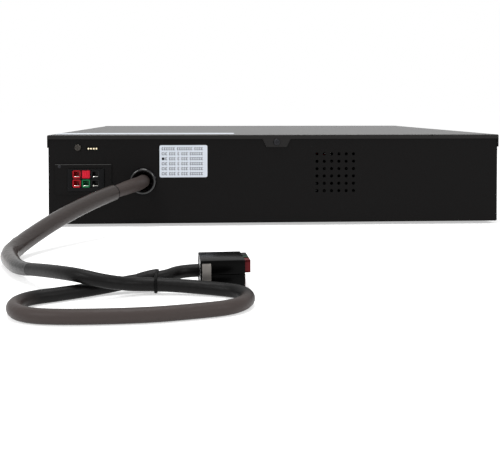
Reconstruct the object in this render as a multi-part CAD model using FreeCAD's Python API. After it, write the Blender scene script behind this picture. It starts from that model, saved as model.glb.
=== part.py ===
"""2U external battery pack for a UPS: folded steel case, two battery cartridges, output lead.

Millimetres, +Z up.  The rear panel, with the socket and the output lead, faces -Y and
+X is to the right of someone who looks at it.  The origin lies under the middle of the
case, on the surface that the feet stand on.
"""
import FreeCAD, Part
import math
import os

from FreeCAD import Vector

# ---- case ------------------------------------------------------------------------------
cover_width = 438.0          # over the skirts of the cover
case_depth = 410.0           # rear lip of the cover to the face of the bezel
case_height = 85.0           # without the feet
sheet = 1.2                  # steel sheet
turned_sides = 32            # sides that stand for a circle on turned pieces
bend = 1.2                   # outside radius of a fold
seam = 0.3                   # gap where two edges meet
flange = 11.0                # width of every inward flange
skirt_height = 12.0          # cover, down the sides
lip_height = 4.0             # cover, down the rear
cover_notch_inset = 66.5     # from the cover's right edge
cover_notch_radius = 2.2

foot_height = 3.0
foot_size = 18.0             # square stick-on pads
foot_inset_x = 40.0
foot_inset_y = 45.0

# ---- fastening tab of the cover ---------------------------------------------------------
tab_top_width = 27.0
tab_bottom_width = 19.5
tab_height = 11.8            # from the top of the cover to the end of the tab
tab_corner = 1.0
tab_screw_drop = 7.0         # from the top of the cover to the screw
screw_diameter = 3.0
screw_clearance = 0.4
screw_head_diameter = 6.6
screw_head_height = 1.9
recess_width = 1.0
recess_depth = 1.0
tab_screw_length = 8.0
side_screw_head_height = 0.8
side_screw_spacing = 240.0

# ---- front bezel ------------------------------------------------------------------------
bezel_depth = 18.0
bezel_wall = 2.5
bezel_corner = 4.0
bezel_slot_width = 3.0
bezel_slot_height = 44.0
bezel_slot_pitch = 9.0
bezel_slot_count = 10        # in each of the two groups
bezel_group_offset = 118.0   # middle of a group from the middle of the case
bezel_chamfer = 2.4
clip_offset_x = 22.0
clip_inset_z = 12.0          # from the floor and from the cover
clip_width = 8.0
clip_thickness = 2.4
clip_barb = 1.0
clip_length = 4.0            # behind the tray's front wall
clip_clearance = 0.4

# ---- battery socket in the rear panel ---------------------------------------------------
pole_pitch = 8.8
pole_size = 7.9              # square moulded housing of one contact
pole_length = 24.6
pole_wall = 1.1
pole_mouth = 9.0             # depth of the mating mouth
tongue_height = 1.6
contact_width = 4.6
contact_height = 0.9
contact_nose = 1.2           # its tip behind the pole's face
wire_entry = 6.0             # a wire's end inside the back of its pole
blank_groove_pitch = 1.8
blank_groove_width = 0.6
blank_groove_depth = 0.5
socket_inset = 36.6          # middle of the six poles from the cover's left edge
socket_z = 46.2
socket_frame_width = 34.8
socket_frame_height = 21.7
socket_frame_drop = 1.05     # the frame's middle lies below the middle of the poles
socket_frame_proud = 1.2     # in front of the plate
socket_frame_depth = 20.0
pole_setback = 1.0           # poles behind the face of the frame
socket_plate_width = 53.3
socket_plate_height = 29.0
socket_plate_shift = 2.45    # its middle lies left of the middle of the poles
socket_plate_z = 45.7
socket_flange_thickness = 2.0
socket_clearance = 0.3
rivet_inset_x = 4.2
rivet_inset_z = 2.1
rivet_diameter = 2.2
rivet_head_diameter = 3.4
rivet_head_height = 0.6
opening_corner = 1.0
plate_corner = 0.6
frame_corner = 0.8

# ---- battery detection board -------------------------------------------------------------
board_screw_shift = 7.6      # left of the middle of the poles
board_screw_drop = 11.9      # below the top of the cover
header_shift = 6.2           # right of the middle of the poles
header_drop = 13.0
header_pin_pitch = 2.54
header_pin_count = 4
header_pin_diameter = 1.6
header_pin_proud = 1.4
header_height = 3.6
header_clearance = 0.3
board_gap = 6.0              # panel to board
board_width = 46.0
board_height = 14.0
board_thickness = 1.6
board_screw_inset = 5.0      # from the board's left and upper edges
spacer_diameter = 6.0
header_setback = 0.2         # header's face behind the panel's face

# ---- vents and label ----------------------------------------------------------------------
vent_columns = 6
vent_rows = 6
vent_pitch = 7.15
vent_diameter = 3.0
vent_inset = 161.7           # middle of the field from the cover's right edge
vent_z = 51.4
label_width = 45.8
label_height = 30.9
label_thickness = 0.2
label_shift = 92.7           # its middle, right of the middle of the poles
label_drop = 25.3            # and below the top of the cover
label_corner = 1.6
cover_label_length = 176.0   # blank strip on the cover
cover_label_width = 34.0
cover_label_corner = 2.0
cover_label_inset_x = 91.0   # its middle from the cover's left edge
cover_label_inset_y = 41.0   # and from the rear lip

# ---- cable bushing -------------------------------------------------------------------------
bushing_shift = 54.0         # right of the middle of the poles
bushing_z = 43.6
bushing_diameter = 26.4
bushing_mouth = 17.6
bushing_proud = 4.0
bushing_barrel = 22.0        # the part in the panel's hole
bushing_depth = 9.0          # behind the panel's face
bushing_clearance = 0.2
bushing_round = 0.7          # rounding of the flange

# ---- output lead -----------------------------------------------------------------------------
core_diameter = 11.2         # in the bushing
sleeve_diameter = 12.8       # down to the first bend
tail_diameter = 8.6          # from there to the plug
neck_run_count = 3           # the sleeve begins in the middle of this run of the route
tail_run_count = 8           # and ends in the middle of the run after this many
lead_start_depth = 3.8       # first point of the route behind the rear panel's face
inner_cable_reach = 19.0     # the jacket's end from the rear lip

# Route of the output lead, chosen by hand: out of the bushing, down to the left, two flat
# bends and a crossing, then through the tie and into the plug.  It moves with the bushing.
LEAD_ROUTE = [
    (-128.4, -200.0, 43.6),
    (-128.4, -218.0, 43.6),
    (-139.0, -242.0, 41.8),
    (-160.0, -272.0, 35.8),
    (-184.0, -304.0, 25.6),
    (-204.0, -337.0, 13.2),
    (-212.0, -368.0, 6.5),
    (-202.0, -396.0, 6.5),
    (-190.0, -421.5, 7.2),
    (-171.5, -444.5, 11.0),
    (-156.0, -463.5, 13.6),
    (-142.0, -476.0, 14.4),
    (-126.5, -477.5, 10.8),
    (-111.0, -469.0, 6.8),
    (-94.5, -466.5, 6.2),
    (-58.0, -473.0, 4.4),
    (-45.0, -481.5, 4.4),
    (-41.5, -497.0, 4.4),
    (-50.0, -513.5, 4.4),
    (-69.0, -520.5, 4.4),
    (-100.0, -528.5, 4.4),
    (-148.0, -529.0, 4.4),
    (-166.0, -521.5, 4.4),
    (-173.5, -504.5, 4.4),
    (-169.0, -489.0, 4.4),
    (-152.0, -480.5, 4.4),
    (-128.0, -464.5, 4.4),
    (-111.0, -459.2, 6.8),
    (-92.6, -456.6, 8.2),
    (-83.9, -445.287, 9.4),
    (-71.4, -443.53, 9.4),
]

# ---- tie round the two strands ------------------------------------------------------------------
tie_x = -97.2
tie_width = 3.6
tie_thickness = 1.1
tie_clearance = 0.8
tie_front = (-466.9, 6.3)    # y and z of the front strand at the tie
tie_rear = (-456.6, 7.9)     # and of the rear one
tie_head_length = 5.2
tie_head_height = 3.2

# ---- plug on the output lead -----------------------------------------------------------------------
plug_length = 28.0
plug_width = 29.4
plug_height = 18.8
plug_edge = 1.4
plug_yaw = 8.0               # degrees
plug_pole_proud = 3.6        # upper row, in front of the shell
plug_lower_proud = 0.4       # lower row
plug_inner_clearance = 0.15
plug_clamp_width = 5.5
plug_clamp_thickness = 1.4
plug_clamp_height = 13.5
plug_clamp_bow = 1.2
plug_clamp_inset = 1.0

# ---- batteries and their cartridges --------------------------------------------------------------------
centre_bay = 103.0           # between the two cartridges
side_gap = 10.1              # cartridge to the tray's wall
bay_depth = 89.6             # wiring bay, from the rear panel to the first batteries
battery_lid_height = 6.0
battery_lid_step = 1.0
battery_gap = 9.0            # between one battery and the terminals' side of the next
battery_corner = 2.0
terminal_width = 6.3
terminal_thickness = 0.8
terminal_length = 7.8
terminal_inset_x = 9.5       # from the battery's sides
terminal_inset_z = 10.5      # and from its top
terminal_pocket = 14.0
terminal_pocket_depth = 4.0
cartridge_sheet = 1.0
cartridge_play = 1.0         # battery to cartridge wall
cartridge_wall_height = 25.0
cartridge_plate_margin = 5.0
cartridge_opening_play = 1.0
cartridge_plate_rise = 4.0   # front plate above the batteries
cartridge_screw_offset = 2.4 # beyond the edge of the opening
cartridge_screw_head = 5.5
cartridge_screw_head_height = 2.0
cartridge_screw_length = 5.0
handle_width = 70.0
handle_stand_off = 9.0
handle_strip = 12.0
handle_thickness = 2.0
handle_foot = 8.0
glide_height = 5.0
glide_width = 12.0
foam_length = 110.0
foam_width = 50.0
foam_thickness = 11.6

# ---- wiring bay -------------------------------------------------------------------------------------------
block_length = 120.0
block_width = 28.0
block_height = 14.0
block_offset = 51.6          # its middle behind the rear panel
bar_width = 16.0
bar_thickness = 3.2
battery_bar_span = (-56.0, -22.0)
output_bar_span = (-6.0, 14.0)
negative_bar_span = (22.0, 56.0)
fuse_body_length = 20.0
fuse_body_width = 13.0
fuse_body_height = 9.0
fuse_blade_overlap = 9.0
fuse_blade_thickness = 1.2
bar_screw_head = 7.0
bar_screw_head_height = 3.0
bar_screw_inset = 6.0
block_corner = 3.0
fuse_blade_width = 8.0
fuse_edge = 1.5
lead_diameter = 3.0
lead_pair_offset = 2.6       # the two leads in the output cable
jumper_x_offset = 4.4        # a jumper's middle beyond the battery's side
long_lead_x_offset = 8.6
bay_lead_gap = 4.0           # floor-level leads in front of the batteries
string_lane = 15.0           # string leads, from the bars' far face
outer_lane = 9.0             # leads of the outer poles, from the bars' near face
inner_lane = 13.0            # leads of the inner poles
red_cable_lane = 17.0
black_cable_lane = 21.0
red_cable_z = 28.0
black_cable_z = 33.0
earth_lane = 8.0             # earth lead behind its pole
string_lead_inset = 12.0     # first string lead from the end of the battery bar
string_lead_pitch = 10.0
return_lead_inset = 8.0      # from both ends of the negative bar
lead_inset = 4.0             # first lead from the end of its bar
lead_pitch = 5.0             # and from one to the next

# ---- places worked out from the above --------------------------------------------------------------------------
z_base = foot_height
z_top = z_base + case_height
cover_z = z_top - sheet                     # underside of the cover
floor_z = z_base + sheet                    # upper face of the tray's floor
y_rear = -case_depth / 2
y_front = case_depth / 2
wall_x = cover_width / 2 - sheet            # outer face of the tray's side walls
inner_x = wall_x - sheet
panel_y = y_rear + sheet                    # outer face of the rear panel
panel_back_y = panel_y + sheet
tray_front_y = y_front - bezel_depth        # outer face of the tray's front wall
glide_top = floor_z + glide_height
battery_z0 = glide_top + cartridge_sheet
battery_thickness = cover_z - battery_z0 - foam_thickness
battery_mid_z = battery_z0 + battery_thickness / 2
battery_top_z = battery_z0 + battery_thickness
terminal_z = battery_top_z - terminal_inset_z
cartridge_half = (inner_x - side_gap - centre_bay / 2) / 2
cartridge_offset = centre_bay / 2 + cartridge_half    # middle of a cartridge from the middle
battery_length = 2 * (cartridge_half - cartridge_play - cartridge_sheet)
terminal_offset_x = battery_length / 2 - terminal_inset_x
battery_pitch = (tray_front_y - panel_back_y - bay_depth + battery_gap) / 3
battery_case_height = battery_pitch - battery_gap
glide_length = 3 * battery_pitch - battery_gap
block_y = panel_back_y + block_offset
block_top = floor_z + block_height
bar_mid_z = block_top + bar_thickness / 2
cover_notch_x = cover_width / 2 - cover_notch_inset
socket_x = socket_inset - cover_width / 2
socket_plate_x = socket_x - socket_plate_shift
board_screw_x = socket_x - board_screw_shift
board_screw_z = z_top - board_screw_drop
header_x = socket_x + header_shift
header_z = z_top - header_drop
bushing_x = socket_x + bushing_shift
label_x = socket_x + label_shift
label_z = z_top - label_drop
vent_x = cover_width / 2 - vent_inset
inner_cable_end = y_rear + inner_cable_reach
lead_shift_x = bushing_x - LEAD_ROUTE[0][0]
lead_shift_y = panel_y + lead_start_depth - LEAD_ROUTE[0][1]
lead_route = [(x + lead_shift_x, y + lead_shift_y, z) for x, y, z in LEAD_ROUTE]
socket_frame_z = socket_z - socket_frame_drop
socket_face_y = y_rear - socket_frame_proud
board_y = panel_back_y + board_gap


# ---- small shape helpers ----------------------------------------------------------------------------------------
def block(x0, x1, y0, y1, z0, z1):
    """Box between two corners."""
    return Part.makeBox(x1 - x0, y1 - y0, z1 - z0, Vector(x0, y0, z0))


def rod(start, end, diameter):
    """Cylinder from one point to another."""
    a, b = Vector(*start), Vector(*end)
    return Part.makeCylinder(diameter / 2, (b - a).Length, a, b - a)


def prism_y(points, y0, y1):
    """Outline in X and Z, from y0 to y1."""
    wire = Part.makePolygon([Vector(x, y0, z) for x, z in points + points[:1]])
    return Part.Face(wire).extrude(Vector(0, y1 - y0, 0))


def rounded_plate_y(cx, cz, width, height, y0, y1, radius):
    """Plate in the XZ plane with rounded corners."""
    plate = block(cx - width / 2, cx + width / 2, y0, y1, cz - height / 2, cz + height / 2)
    return fillet_along(plate, Vector(0, 1, 0), radius)


def ring(centre, heading, diameter, sides=8):
    """Polygon round a point and square to a heading, with its corners on the circle."""
    heading = Vector(heading).normalize()
    across = heading.cross(Vector(0, 0, 1))
    if across.Length < 1e-6:
        across = Vector(1, 0, 0)
    across.normalize()
    up = across.cross(heading)
    corners = []
    for index in range(sides):
        angle = 2 * math.pi * index / sides
        corners.append(centre + (across * math.cos(angle) + up * math.sin(angle)) * (diameter / 2))
    return Part.makePolygon(corners + corners[:1])


def small_rod(start, end, diameter):
    """Eight-sided rod, for small pieces that repeat or lie inside."""
    a, b = Vector(*start), Vector(*end)
    return Part.Face(ring(a, b - a, diameter)).extrude(b - a)


def turned(profile):
    """Round body about the Y axis, with many narrow sides, through pairs of radius and y."""
    rings = [ring(Vector(0, y, 0), Vector(0, 1, 0), 2 * radius, turned_sides) for radius, y in profile]
    return Part.makeLoft(rings, True, True)


def small_hole(start, end, diameter):
    """Eight-sided cutter that a round rod of this diameter just passes."""
    return small_rod(start, end, diameter / math.cos(math.pi / 8))


def straight_edges(shape, direction, keep=lambda middle: True):
    """The straight edges that run along one direction."""
    edges = []
    for edge in shape.Edges:
        if len(edge.Vertexes) != 2 or not isinstance(edge.Curve, Part.Line):
            continue
        ends = [v.Point for v in edge.Vertexes]
        along = (ends[1] - ends[0]).normalize()
        if abs(abs(along.dot(direction)) - 1) < 1e-6 and keep((ends[0] + ends[1]) * 0.5):
            edges.append(edge)
    return edges


def fillet_along(shape, direction, radius, keep=lambda middle: True):
    """Round the straight edges that run along one direction."""
    return shape.makeFillet(radius, straight_edges(shape, direction, keep))


def chamfer_along(shape, direction, width, keep=lambda middle: True):
    """Bevel the straight edges that run along one direction."""
    return shape.makeChamfer(width, straight_edges(shape, direction, keep))


def union(shapes):
    """Fuse shapes and merge their coplanar faces."""
    result = shapes[0]
    if len(shapes) > 1:
        result = result.fuse(shapes[1:])
    return result.removeSplitter()


def group(solids):
    """Separate solids that share one node."""
    return Part.makeCompound(solids)


def wire_lead(points, diameter=lead_diameter):
    """Insulated wire along straight runs with mitred corners."""
    places = [Vector(*p) for p in points]
    section = ring(places[0], places[1] - places[0], diameter, 6)
    return Part.makePolygon(places).makePipeShell([section], True, False, 1)


# ---- case -------------------------------------------------------------------------------------------------------
def base_tray():
    """Floor, side walls and front wall in one folded sheet."""
    tray = block(-wall_x, wall_x, panel_y, tray_front_y, z_base, cover_z)
    tray = tray.cut(block(-inner_x, inner_x, panel_y, tray_front_y - sheet, floor_z, cover_z))
    tray = fillet_along(tray, Vector(0, 1, 0), bend, lambda m: m.z < floor_z and abs(m.x) > inner_x)
    rim_y0 = panel_y + flange + seam
    rims = []
    for side in (-1, 1):
        x0, x1 = sorted((side * inner_x, side * (inner_x - flange)))
        rims.append(block(x0, x1, rim_y0, tray_front_y - sheet, cover_z - sheet, cover_z))
    tray = union([tray] + rims)
    for side in (-1, 1):
        middle = side * cartridge_offset
        half = cartridge_half + cartridge_opening_play
        tray = tray.cut(block(middle - half, middle + half, tray_front_y - sheet, tray_front_y,
                              glide_top - cartridge_opening_play,
                              battery_top_z + cartridge_opening_play))
    for x, z, up in clip_places():
        half = clip_width / 2 + clip_clearance
        z0, z1 = sorted((z - up * clip_clearance, z + up * (clip_thickness + clip_barb + clip_clearance)))
        tray = tray.cut(block(x - half, x + half, tray_front_y - sheet, tray_front_y, z0, z1))
    for x, z in cartridge_screw_places():
        tray = tray.cut(small_hole((x, tray_front_y - sheet, z), (x, tray_front_y, z), screw_diameter))
    for x, y, z, outward in side_screw_places():
        tray = tray.cut(small_hole((x - outward * 2 * sheet, y, z), (x, y, z), screw_diameter))
    return tray


def rear_panel():
    """Rear sheet with flanges all round, spot welded into the tray."""
    left, right = -inner_x, inner_x
    back = panel_y + flange
    panel = block(left, right, panel_y, back, floor_z, cover_z)
    panel = panel.cut(block(left + sheet, right - sheet, panel_back_y, back,
                            floor_z + sheet, cover_z - sheet))
    frame_w = socket_frame_width + 2 * socket_clearance
    frame_h = socket_frame_height + 2 * socket_clearance
    cuts = [rounded_plate_y(socket_x, socket_frame_z, frame_w, frame_h,
                            panel_y, panel_back_y, opening_corner)]
    for x, z in rivet_places():
        cuts.append(small_hole((x, panel_y, z), (x, panel_back_y, z), rivet_diameter))
    cuts.append(through_panel(board_screw_x, board_screw_z, screw_diameter + screw_clearance))
    slot_w = header_width() + 2 * header_clearance
    slot_h = header_height + 2 * header_clearance
    cuts.append(block(header_x - slot_w / 2, header_x + slot_w / 2, panel_y, panel_back_y,
                      header_z - slot_h / 2, header_z + slot_h / 2))
    cuts.append(through_panel(bushing_x, bushing_z, bushing_barrel))
    cuts.append(through_panel(0, z_top - tab_screw_drop, screw_diameter))
    for column in range(vent_columns):
        for row in range(vent_rows):
            x = vent_x + (column - (vent_columns - 1) / 2) * vent_pitch
            z = vent_z + (row - (vent_rows - 1) / 2) * vent_pitch
            cuts.append(small_hole((x, panel_y, z), (x, panel_back_y, z), vent_diameter))
    return panel.cut(Part.makeCompound(cuts))


def through_panel(x, z, diameter):
    """Round cutter through the rear panel."""
    return rod((x, panel_y, z), (x, panel_back_y, z), diameter)


def top_cover():
    """Lid with side skirts, a rear lip and the fastening tab."""
    half = cover_width / 2
    lid = block(-half, half, y_rear, tray_front_y, z_top - skirt_height, z_top)
    lid = lid.cut(block(-wall_x, wall_x, y_rear + sheet, tray_front_y, z_top - skirt_height, cover_z))
    lid = lid.cut(block(-wall_x, wall_x, y_rear, y_rear + sheet,
                        z_top - skirt_height, z_top - lip_height))
    tab = prism_y([(-tab_top_width / 2, z_top - lip_height), (tab_top_width / 2, z_top - lip_height),
                   (tab_bottom_width / 2, z_top - tab_height),
                   (-tab_bottom_width / 2, z_top - tab_height)], y_rear, y_rear + sheet)
    tab = fillet_along(tab, Vector(0, 1, 0), tab_corner, lambda m: m.z < z_top - lip_height - 1)
    lid = union([lid, tab])
    lid = fillet_along(lid, Vector(0, 1, 0), bend, lambda m: m.z > cover_z + 0.1)
    lid = fillet_along(lid, Vector(1, 0, 0), bend * 0.8,
                       lambda m: m.z > cover_z + 0.1 and m.y < y_rear + 0.1)
    lid = lid.cut(rod((0, y_rear, z_top - tab_screw_drop), (0, y_rear + sheet, z_top - tab_screw_drop),
                      screw_diameter + screw_clearance))
    lid = lid.cut(rod((cover_notch_x, y_rear, z_top + cover_notch_radius * 0.35),
                      (cover_notch_x, y_rear + 2 * sheet, z_top + cover_notch_radius * 0.35),
                      2 * cover_notch_radius))
    for x, y, z, outward in side_screw_places():
        lid = lid.cut(small_hole((x, y, z), (x + outward * sheet, y, z), screw_diameter + screw_clearance))
    return lid


def side_screw_places():
    """Middle of each cover screw on the outer face of the tray's wall, and its direction."""
    z = z_top - skirt_height / 2
    return [(side * wall_x, y, z, side)
            for side in (-1, 1) for y in (-side_screw_spacing / 2, side_screw_spacing / 2)]


def screw_y(x, z, y_seat, length):
    """Domed cross-head screw that points along +Y with its head's underside at y_seat."""
    radius, head = screw_head_diameter / 2, screw_head_height
    body = turned([(radius, 0), (radius, -head * 0.35), (radius * 0.8, -head * 0.8), (radius * 0.5, -head)])
    arm, half = radius * 0.55, recess_width / 2
    floor = -head + recess_depth
    cross = block(-arm, arm, -head, floor, -half, half).fuse(block(-half, half, -head, floor, -arm, arm))
    body = union([body.cut(cross), small_rod((0, 0, 0), (0, length, 0), screw_diameter)])
    body.translate(Vector(x, y_seat, z))
    return body


def cover_tab_screw():
    """Screw that holds the cover's tab to the rear panel."""
    return screw_y(0, z_top - tab_screw_drop, y_rear, tab_screw_length)


def cover_side_screws():
    """Flat screws through the skirts into the tray's walls."""
    screws = []
    for x, y, z, outward in side_screw_places():
        seat = x + outward * sheet
        head = small_rod((seat, y, z), (seat + outward * side_screw_head_height, y, z), screw_head_diameter)
        shank = small_rod((seat - outward * 6 * sheet, y, z), (seat, y, z), screw_diameter)
        screws.append(union([head, shank]))
    return group(screws)


def rubber_feet():
    """Four square pads stuck under the tray."""
    feet = []
    for side_x in (-1, 1):
        for side_y in (-1, 1):
            x = side_x * (wall_x - foot_inset_x)
            y = side_y * (case_depth / 2 - foot_inset_y)
            half = foot_size / 2
            pad = block(x - half, x + half, y - half, y + half, 0, foot_height)
            feet.append(chamfer_along(pad, Vector(0, 0, 1), half / 4))
    return group(feet)


# ---- bezel ------------------------------------------------------------------------------------------------------
def clip_places():
    """Where the bezel's four clips enter the tray's front wall, and the way their barbs point."""
    rows = ((floor_z + clip_inset_z, -1), (cover_z - clip_inset_z, 1))
    return [(x, z, up) for x in (-clip_offset_x, clip_offset_x) for z, up in rows]


def bezel_clip(x, z, up):
    """Clip with a barb behind the tray's wall; its plain face is at z."""
    half = clip_width / 2
    low, high = sorted((z, z + up * clip_thickness))
    arm = block(x - half, x + half, tray_front_y - sheet - clip_length, y_front - bezel_wall, low, high)
    low, high = sorted((z, z + up * (clip_thickness + clip_barb)))
    barb = block(x - half, x + half, tray_front_y - sheet - clip_length, tray_front_y - sheet, low, high)
    return arm.fuse(barb)


def front_bezel():
    """Moulded front with two louvred fields, open at the back."""
    half = cover_width / 2
    shell = block(-half, half, tray_front_y, y_front, z_base, z_top)
    shell = chamfer_along(shell, Vector(1, 0, 0), bezel_chamfer, lambda m: m.y > y_front - 1)
    shell = fillet_along(shell, Vector(0, 0, 1), bezel_corner, lambda m: m.y > y_front - 1)
    shell = shell.cut(block(-half + bezel_wall, half - bezel_wall, tray_front_y, y_front - bezel_wall,
                            z_base + bezel_wall, z_top - bezel_wall))
    middle_z = z_base + case_height / 2
    slots = []
    for side in (-1, 1):
        for index in range(bezel_slot_count):
            x = side * bezel_group_offset + (index - (bezel_slot_count - 1) / 2) * bezel_slot_pitch
            slots.append(block(x - bezel_slot_width / 2, x + bezel_slot_width / 2,
                               y_front - bezel_wall, y_front,
                               middle_z - bezel_slot_height / 2, middle_z + bezel_slot_height / 2))
    shell = shell.cut(Part.makeCompound(slots))
    return union([shell] + [bezel_clip(x, z, up) for x, z, up in clip_places()])


# ---- socket -----------------------------------------------------------------------------------------------------
def rivet_places():
    """Two rivets at opposite corners of the socket's plate."""
    left = socket_plate_x - socket_plate_width / 2 + rivet_inset_x
    right = socket_plate_x + socket_plate_width / 2 - rivet_inset_x
    top = socket_plate_z + socket_plate_height / 2 - rivet_inset_z
    bottom = socket_plate_z - socket_plate_height / 2 + rivet_inset_z
    return [(left, top), (right, bottom)]


def socket_plate():
    """Steel plate round the socket, on the outside of the rear panel."""
    plate = rounded_plate_y(socket_plate_x, socket_plate_z, socket_plate_width, socket_plate_height,
                            y_rear, panel_y, plate_corner)
    hole = rounded_plate_y(socket_x, socket_frame_z, socket_frame_width + 2 * socket_clearance,
                           socket_frame_height + 2 * socket_clearance, y_rear, panel_y, opening_corner)
    plate = plate.cut(hole)
    for x, z in rivet_places():
        plate = plate.cut(small_hole((x, y_rear, z), (x, panel_y, z), rivet_diameter))
    return plate


def socket_frame():
    """Moulded frame that carries the six poles, flanged behind the panel."""
    body = rounded_plate_y(socket_x, socket_frame_z, socket_frame_width, socket_frame_height,
                           socket_face_y, socket_face_y + socket_frame_depth, frame_corner)
    plate_flange = block(socket_plate_x - socket_plate_width / 2, socket_plate_x + socket_plate_width / 2,
                         panel_back_y, panel_back_y + socket_flange_thickness,
                         socket_plate_z - socket_plate_height / 2, socket_plate_z + socket_plate_height / 2)
    body = union([body, plate_flange])
    for x, z in pole_places():
        half = pole_size / 2
        body = body.cut(block(x - half, x + half, socket_face_y, socket_face_y + socket_frame_depth,
                              z - half, z + half))
    for x, z in rivet_places():
        body = body.cut(small_hole((x, panel_back_y, z), (x, panel_back_y + socket_flange_thickness, z),
                                   rivet_diameter))
    return body


def plate_rivets():
    """Rivets through the plate, the panel and the frame's flange."""
    rivets = []
    tail_y = panel_back_y + socket_flange_thickness
    for x, z in rivet_places():
        head = small_rod((x, y_rear, z), (x, y_rear - rivet_head_height, z), rivet_head_diameter)
        shank = small_rod((x, y_rear, z), (x, tail_y, z), rivet_diameter)
        tail = small_rod((x, tail_y, z), (x, tail_y + rivet_head_height, z), rivet_head_diameter)
        rivets.append(union([head, shank, tail]))
    return group(rivets)


def pole_places():
    """Middle of each pole: left to right, upper row first."""
    return [(socket_x + column * pole_pitch, socket_z + row * pole_pitch / 2)
            for row in (1, -1) for column in (-1, 0, 1)]


def pole_housing(blank=False):
    """One housing: mouth towards -Y, face at y = 0, middle of the face on the Y axis."""
    half = pole_size / 2
    housing = block(-half, half, 0, pole_length, -half, half)
    inner = half - pole_wall
    if blank:
        side = blank_groove_width / 2
        grooves = [block(x - side, x + side, 0, blank_groove_depth, -inner, inner)
                   for x in (-blank_groove_pitch, 0, blank_groove_pitch)]
        return housing.cut(Part.makeCompound(grooves))
    mouth = block(-inner, inner, 0, pole_mouth, -half + tongue_height, inner)
    wire_way = small_hole((0, pole_length - wire_entry, 0), (0, pole_length, 0), lead_diameter)
    return housing.cut(mouth).cut(wire_way)


def pole_contact():
    """Silvered contact that lies on the tongue of a housing."""
    half = contact_width / 2
    base = -pole_size / 2 + tongue_height
    top = base + contact_height
    ramp = contact_nose + 2 * contact_height
    outline = [Vector(-half, y, z) for y, z in (
        (pole_mouth, base), (contact_nose, base), (contact_nose, base + contact_height / 3),
        (ramp, top), (pole_mouth, top), (pole_mouth, base))]
    return Part.Face(Part.makePolygon(outline)).extrude(Vector(contact_width, 0, 0))


def at_pole(shape, index):
    """Put a shape that was made at a pole's own origin into the socket."""
    x, z = pole_places()[index]
    placed = shape.copy()
    placed.translate(Vector(x, socket_face_y + pole_setback, z))
    return placed


RED_UPPER, RED_BLANK, BLACK_UPPER, RED_LOWER, GREEN, BLACK_LOWER = range(6)
LIVE_POLES = (RED_UPPER, BLACK_UPPER, RED_LOWER, GREEN, BLACK_LOWER)


def pole_contacts():
    """The five contacts of the socket."""
    return group([at_pole(pole_contact(), index) for index in LIVE_POLES])


# ---- detection board --------------------------------------------------------------------------------------------
def header_width():
    """Width of the header's body."""
    return header_pin_pitch * header_pin_count + 0.6


def pin_header():
    """Header body, from the board to the panel's face."""
    half = header_width() / 2
    return block(header_x - half, header_x + half, panel_y + header_setback, board_y,
                 header_z - header_height / 2, header_z + header_height / 2)


def header_pins():
    """Gilt pins in front of the header's body."""
    pins = []
    seat = panel_y + header_setback
    for index in range(header_pin_count):
        x = header_x + (index - (header_pin_count - 1) / 2) * header_pin_pitch
        pins.append(small_rod((x, seat - header_pin_proud, header_z), (x, seat, header_z),
                              header_pin_diameter))
    return group(pins)


def detect_board():
    """Circuit board behind the panel, with its own hole for the screw."""
    x0 = board_screw_x - board_screw_inset
    z0 = board_screw_z - board_height + board_screw_inset
    board = block(x0, x0 + board_width, board_y, board_y + board_thickness, z0, z0 + board_height)
    return board.cut(small_hole((board_screw_x, board_y, board_screw_z),
                                (board_screw_x, board_y + board_thickness, board_screw_z), screw_diameter))


def board_spacer():
    """Spacer between the panel and the board."""
    near, far = (board_screw_x, panel_back_y, board_screw_z), (board_screw_x, board_y, board_screw_z)
    return small_rod(near, far, spacer_diameter).cut(small_hole(near, far, screw_diameter + screw_clearance))


def board_screw():
    """Screw through the panel and the spacer into the board."""
    length = board_y + 2 * board_thickness - panel_y
    return screw_y(board_screw_x, board_screw_z, panel_y, length)


def spec_label():
    """Paper label on the rear panel."""
    return rounded_plate_y(label_x, label_z, label_width, label_height,
                           panel_y - label_thickness, panel_y, label_corner)


def cover_label():
    """Blank label strip on top of the cover, near its rear left corner."""
    x, y = cover_label_inset_x - cover_width / 2, y_rear + cover_label_inset_y
    half_x, half_y = cover_label_length / 2, cover_label_width / 2
    strip = block(x - half_x, x + half_x, y - half_y, y + half_y, z_top, z_top + label_thickness)
    return fillet_along(strip, Vector(0, 0, 1), cover_label_corner)


# ---- output lead ------------------------------------------------------------------------------------------------
def cable_bushing():
    """Glossy bushing, turned about the lead: rounded flange, barrel and narrowing throat."""
    outer, mouth = bushing_diameter / 2, bushing_mouth / 2
    throat = core_diameter / 2 + bushing_clearance
    barrel = bushing_barrel / 2
    crest = (outer + mouth) / 2
    front, back = -bushing_proud, bushing_depth
    flange = turned([(outer, 0), (outer, front * 0.4), (outer - bushing_round, front * 0.8), (crest, front)])
    neck = turned([(barrel, back), (barrel, 0)])
    bore = turned([(crest, front), (mouth + bushing_round, front * 0.85), (mouth, front * 0.45),
                   (throat, back * 0.45), (throat, back)])
    body = union([flange, neck]).cut(bore)
    body.translate(Vector(bushing_x, panel_y, bushing_z))
    return body


def route_runs():
    """Straight runs and tangent arcs of the output lead's route, one list of edges per run."""
    points = [Vector(*p) for p in lead_route]
    runs = []
    start = points[0]
    for before, corner, after in zip(points, points[1:], points[2:]):
        arrive, leave = corner - before, after - corner
        turn = arrive.getAngle(leave)
        reach = 0.45 * min(arrive.Length, leave.Length)
        radius = reach / math.tan(turn / 2)
        a = corner - arrive.normalize() * reach
        b = corner + leave.normalize() * reach
        inward = ((a + b) * 0.5 - corner).normalize()
        middle = corner + inward * (radius / math.cos(turn / 2) - radius)
        runs.append((Part.LineSegment(start, a), Part.Arc(a, middle, b)))
        print("lead radius", round(radius, 1))
        start = b
    runs.append((Part.LineSegment(start, points[-1]), None))
    return runs


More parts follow.
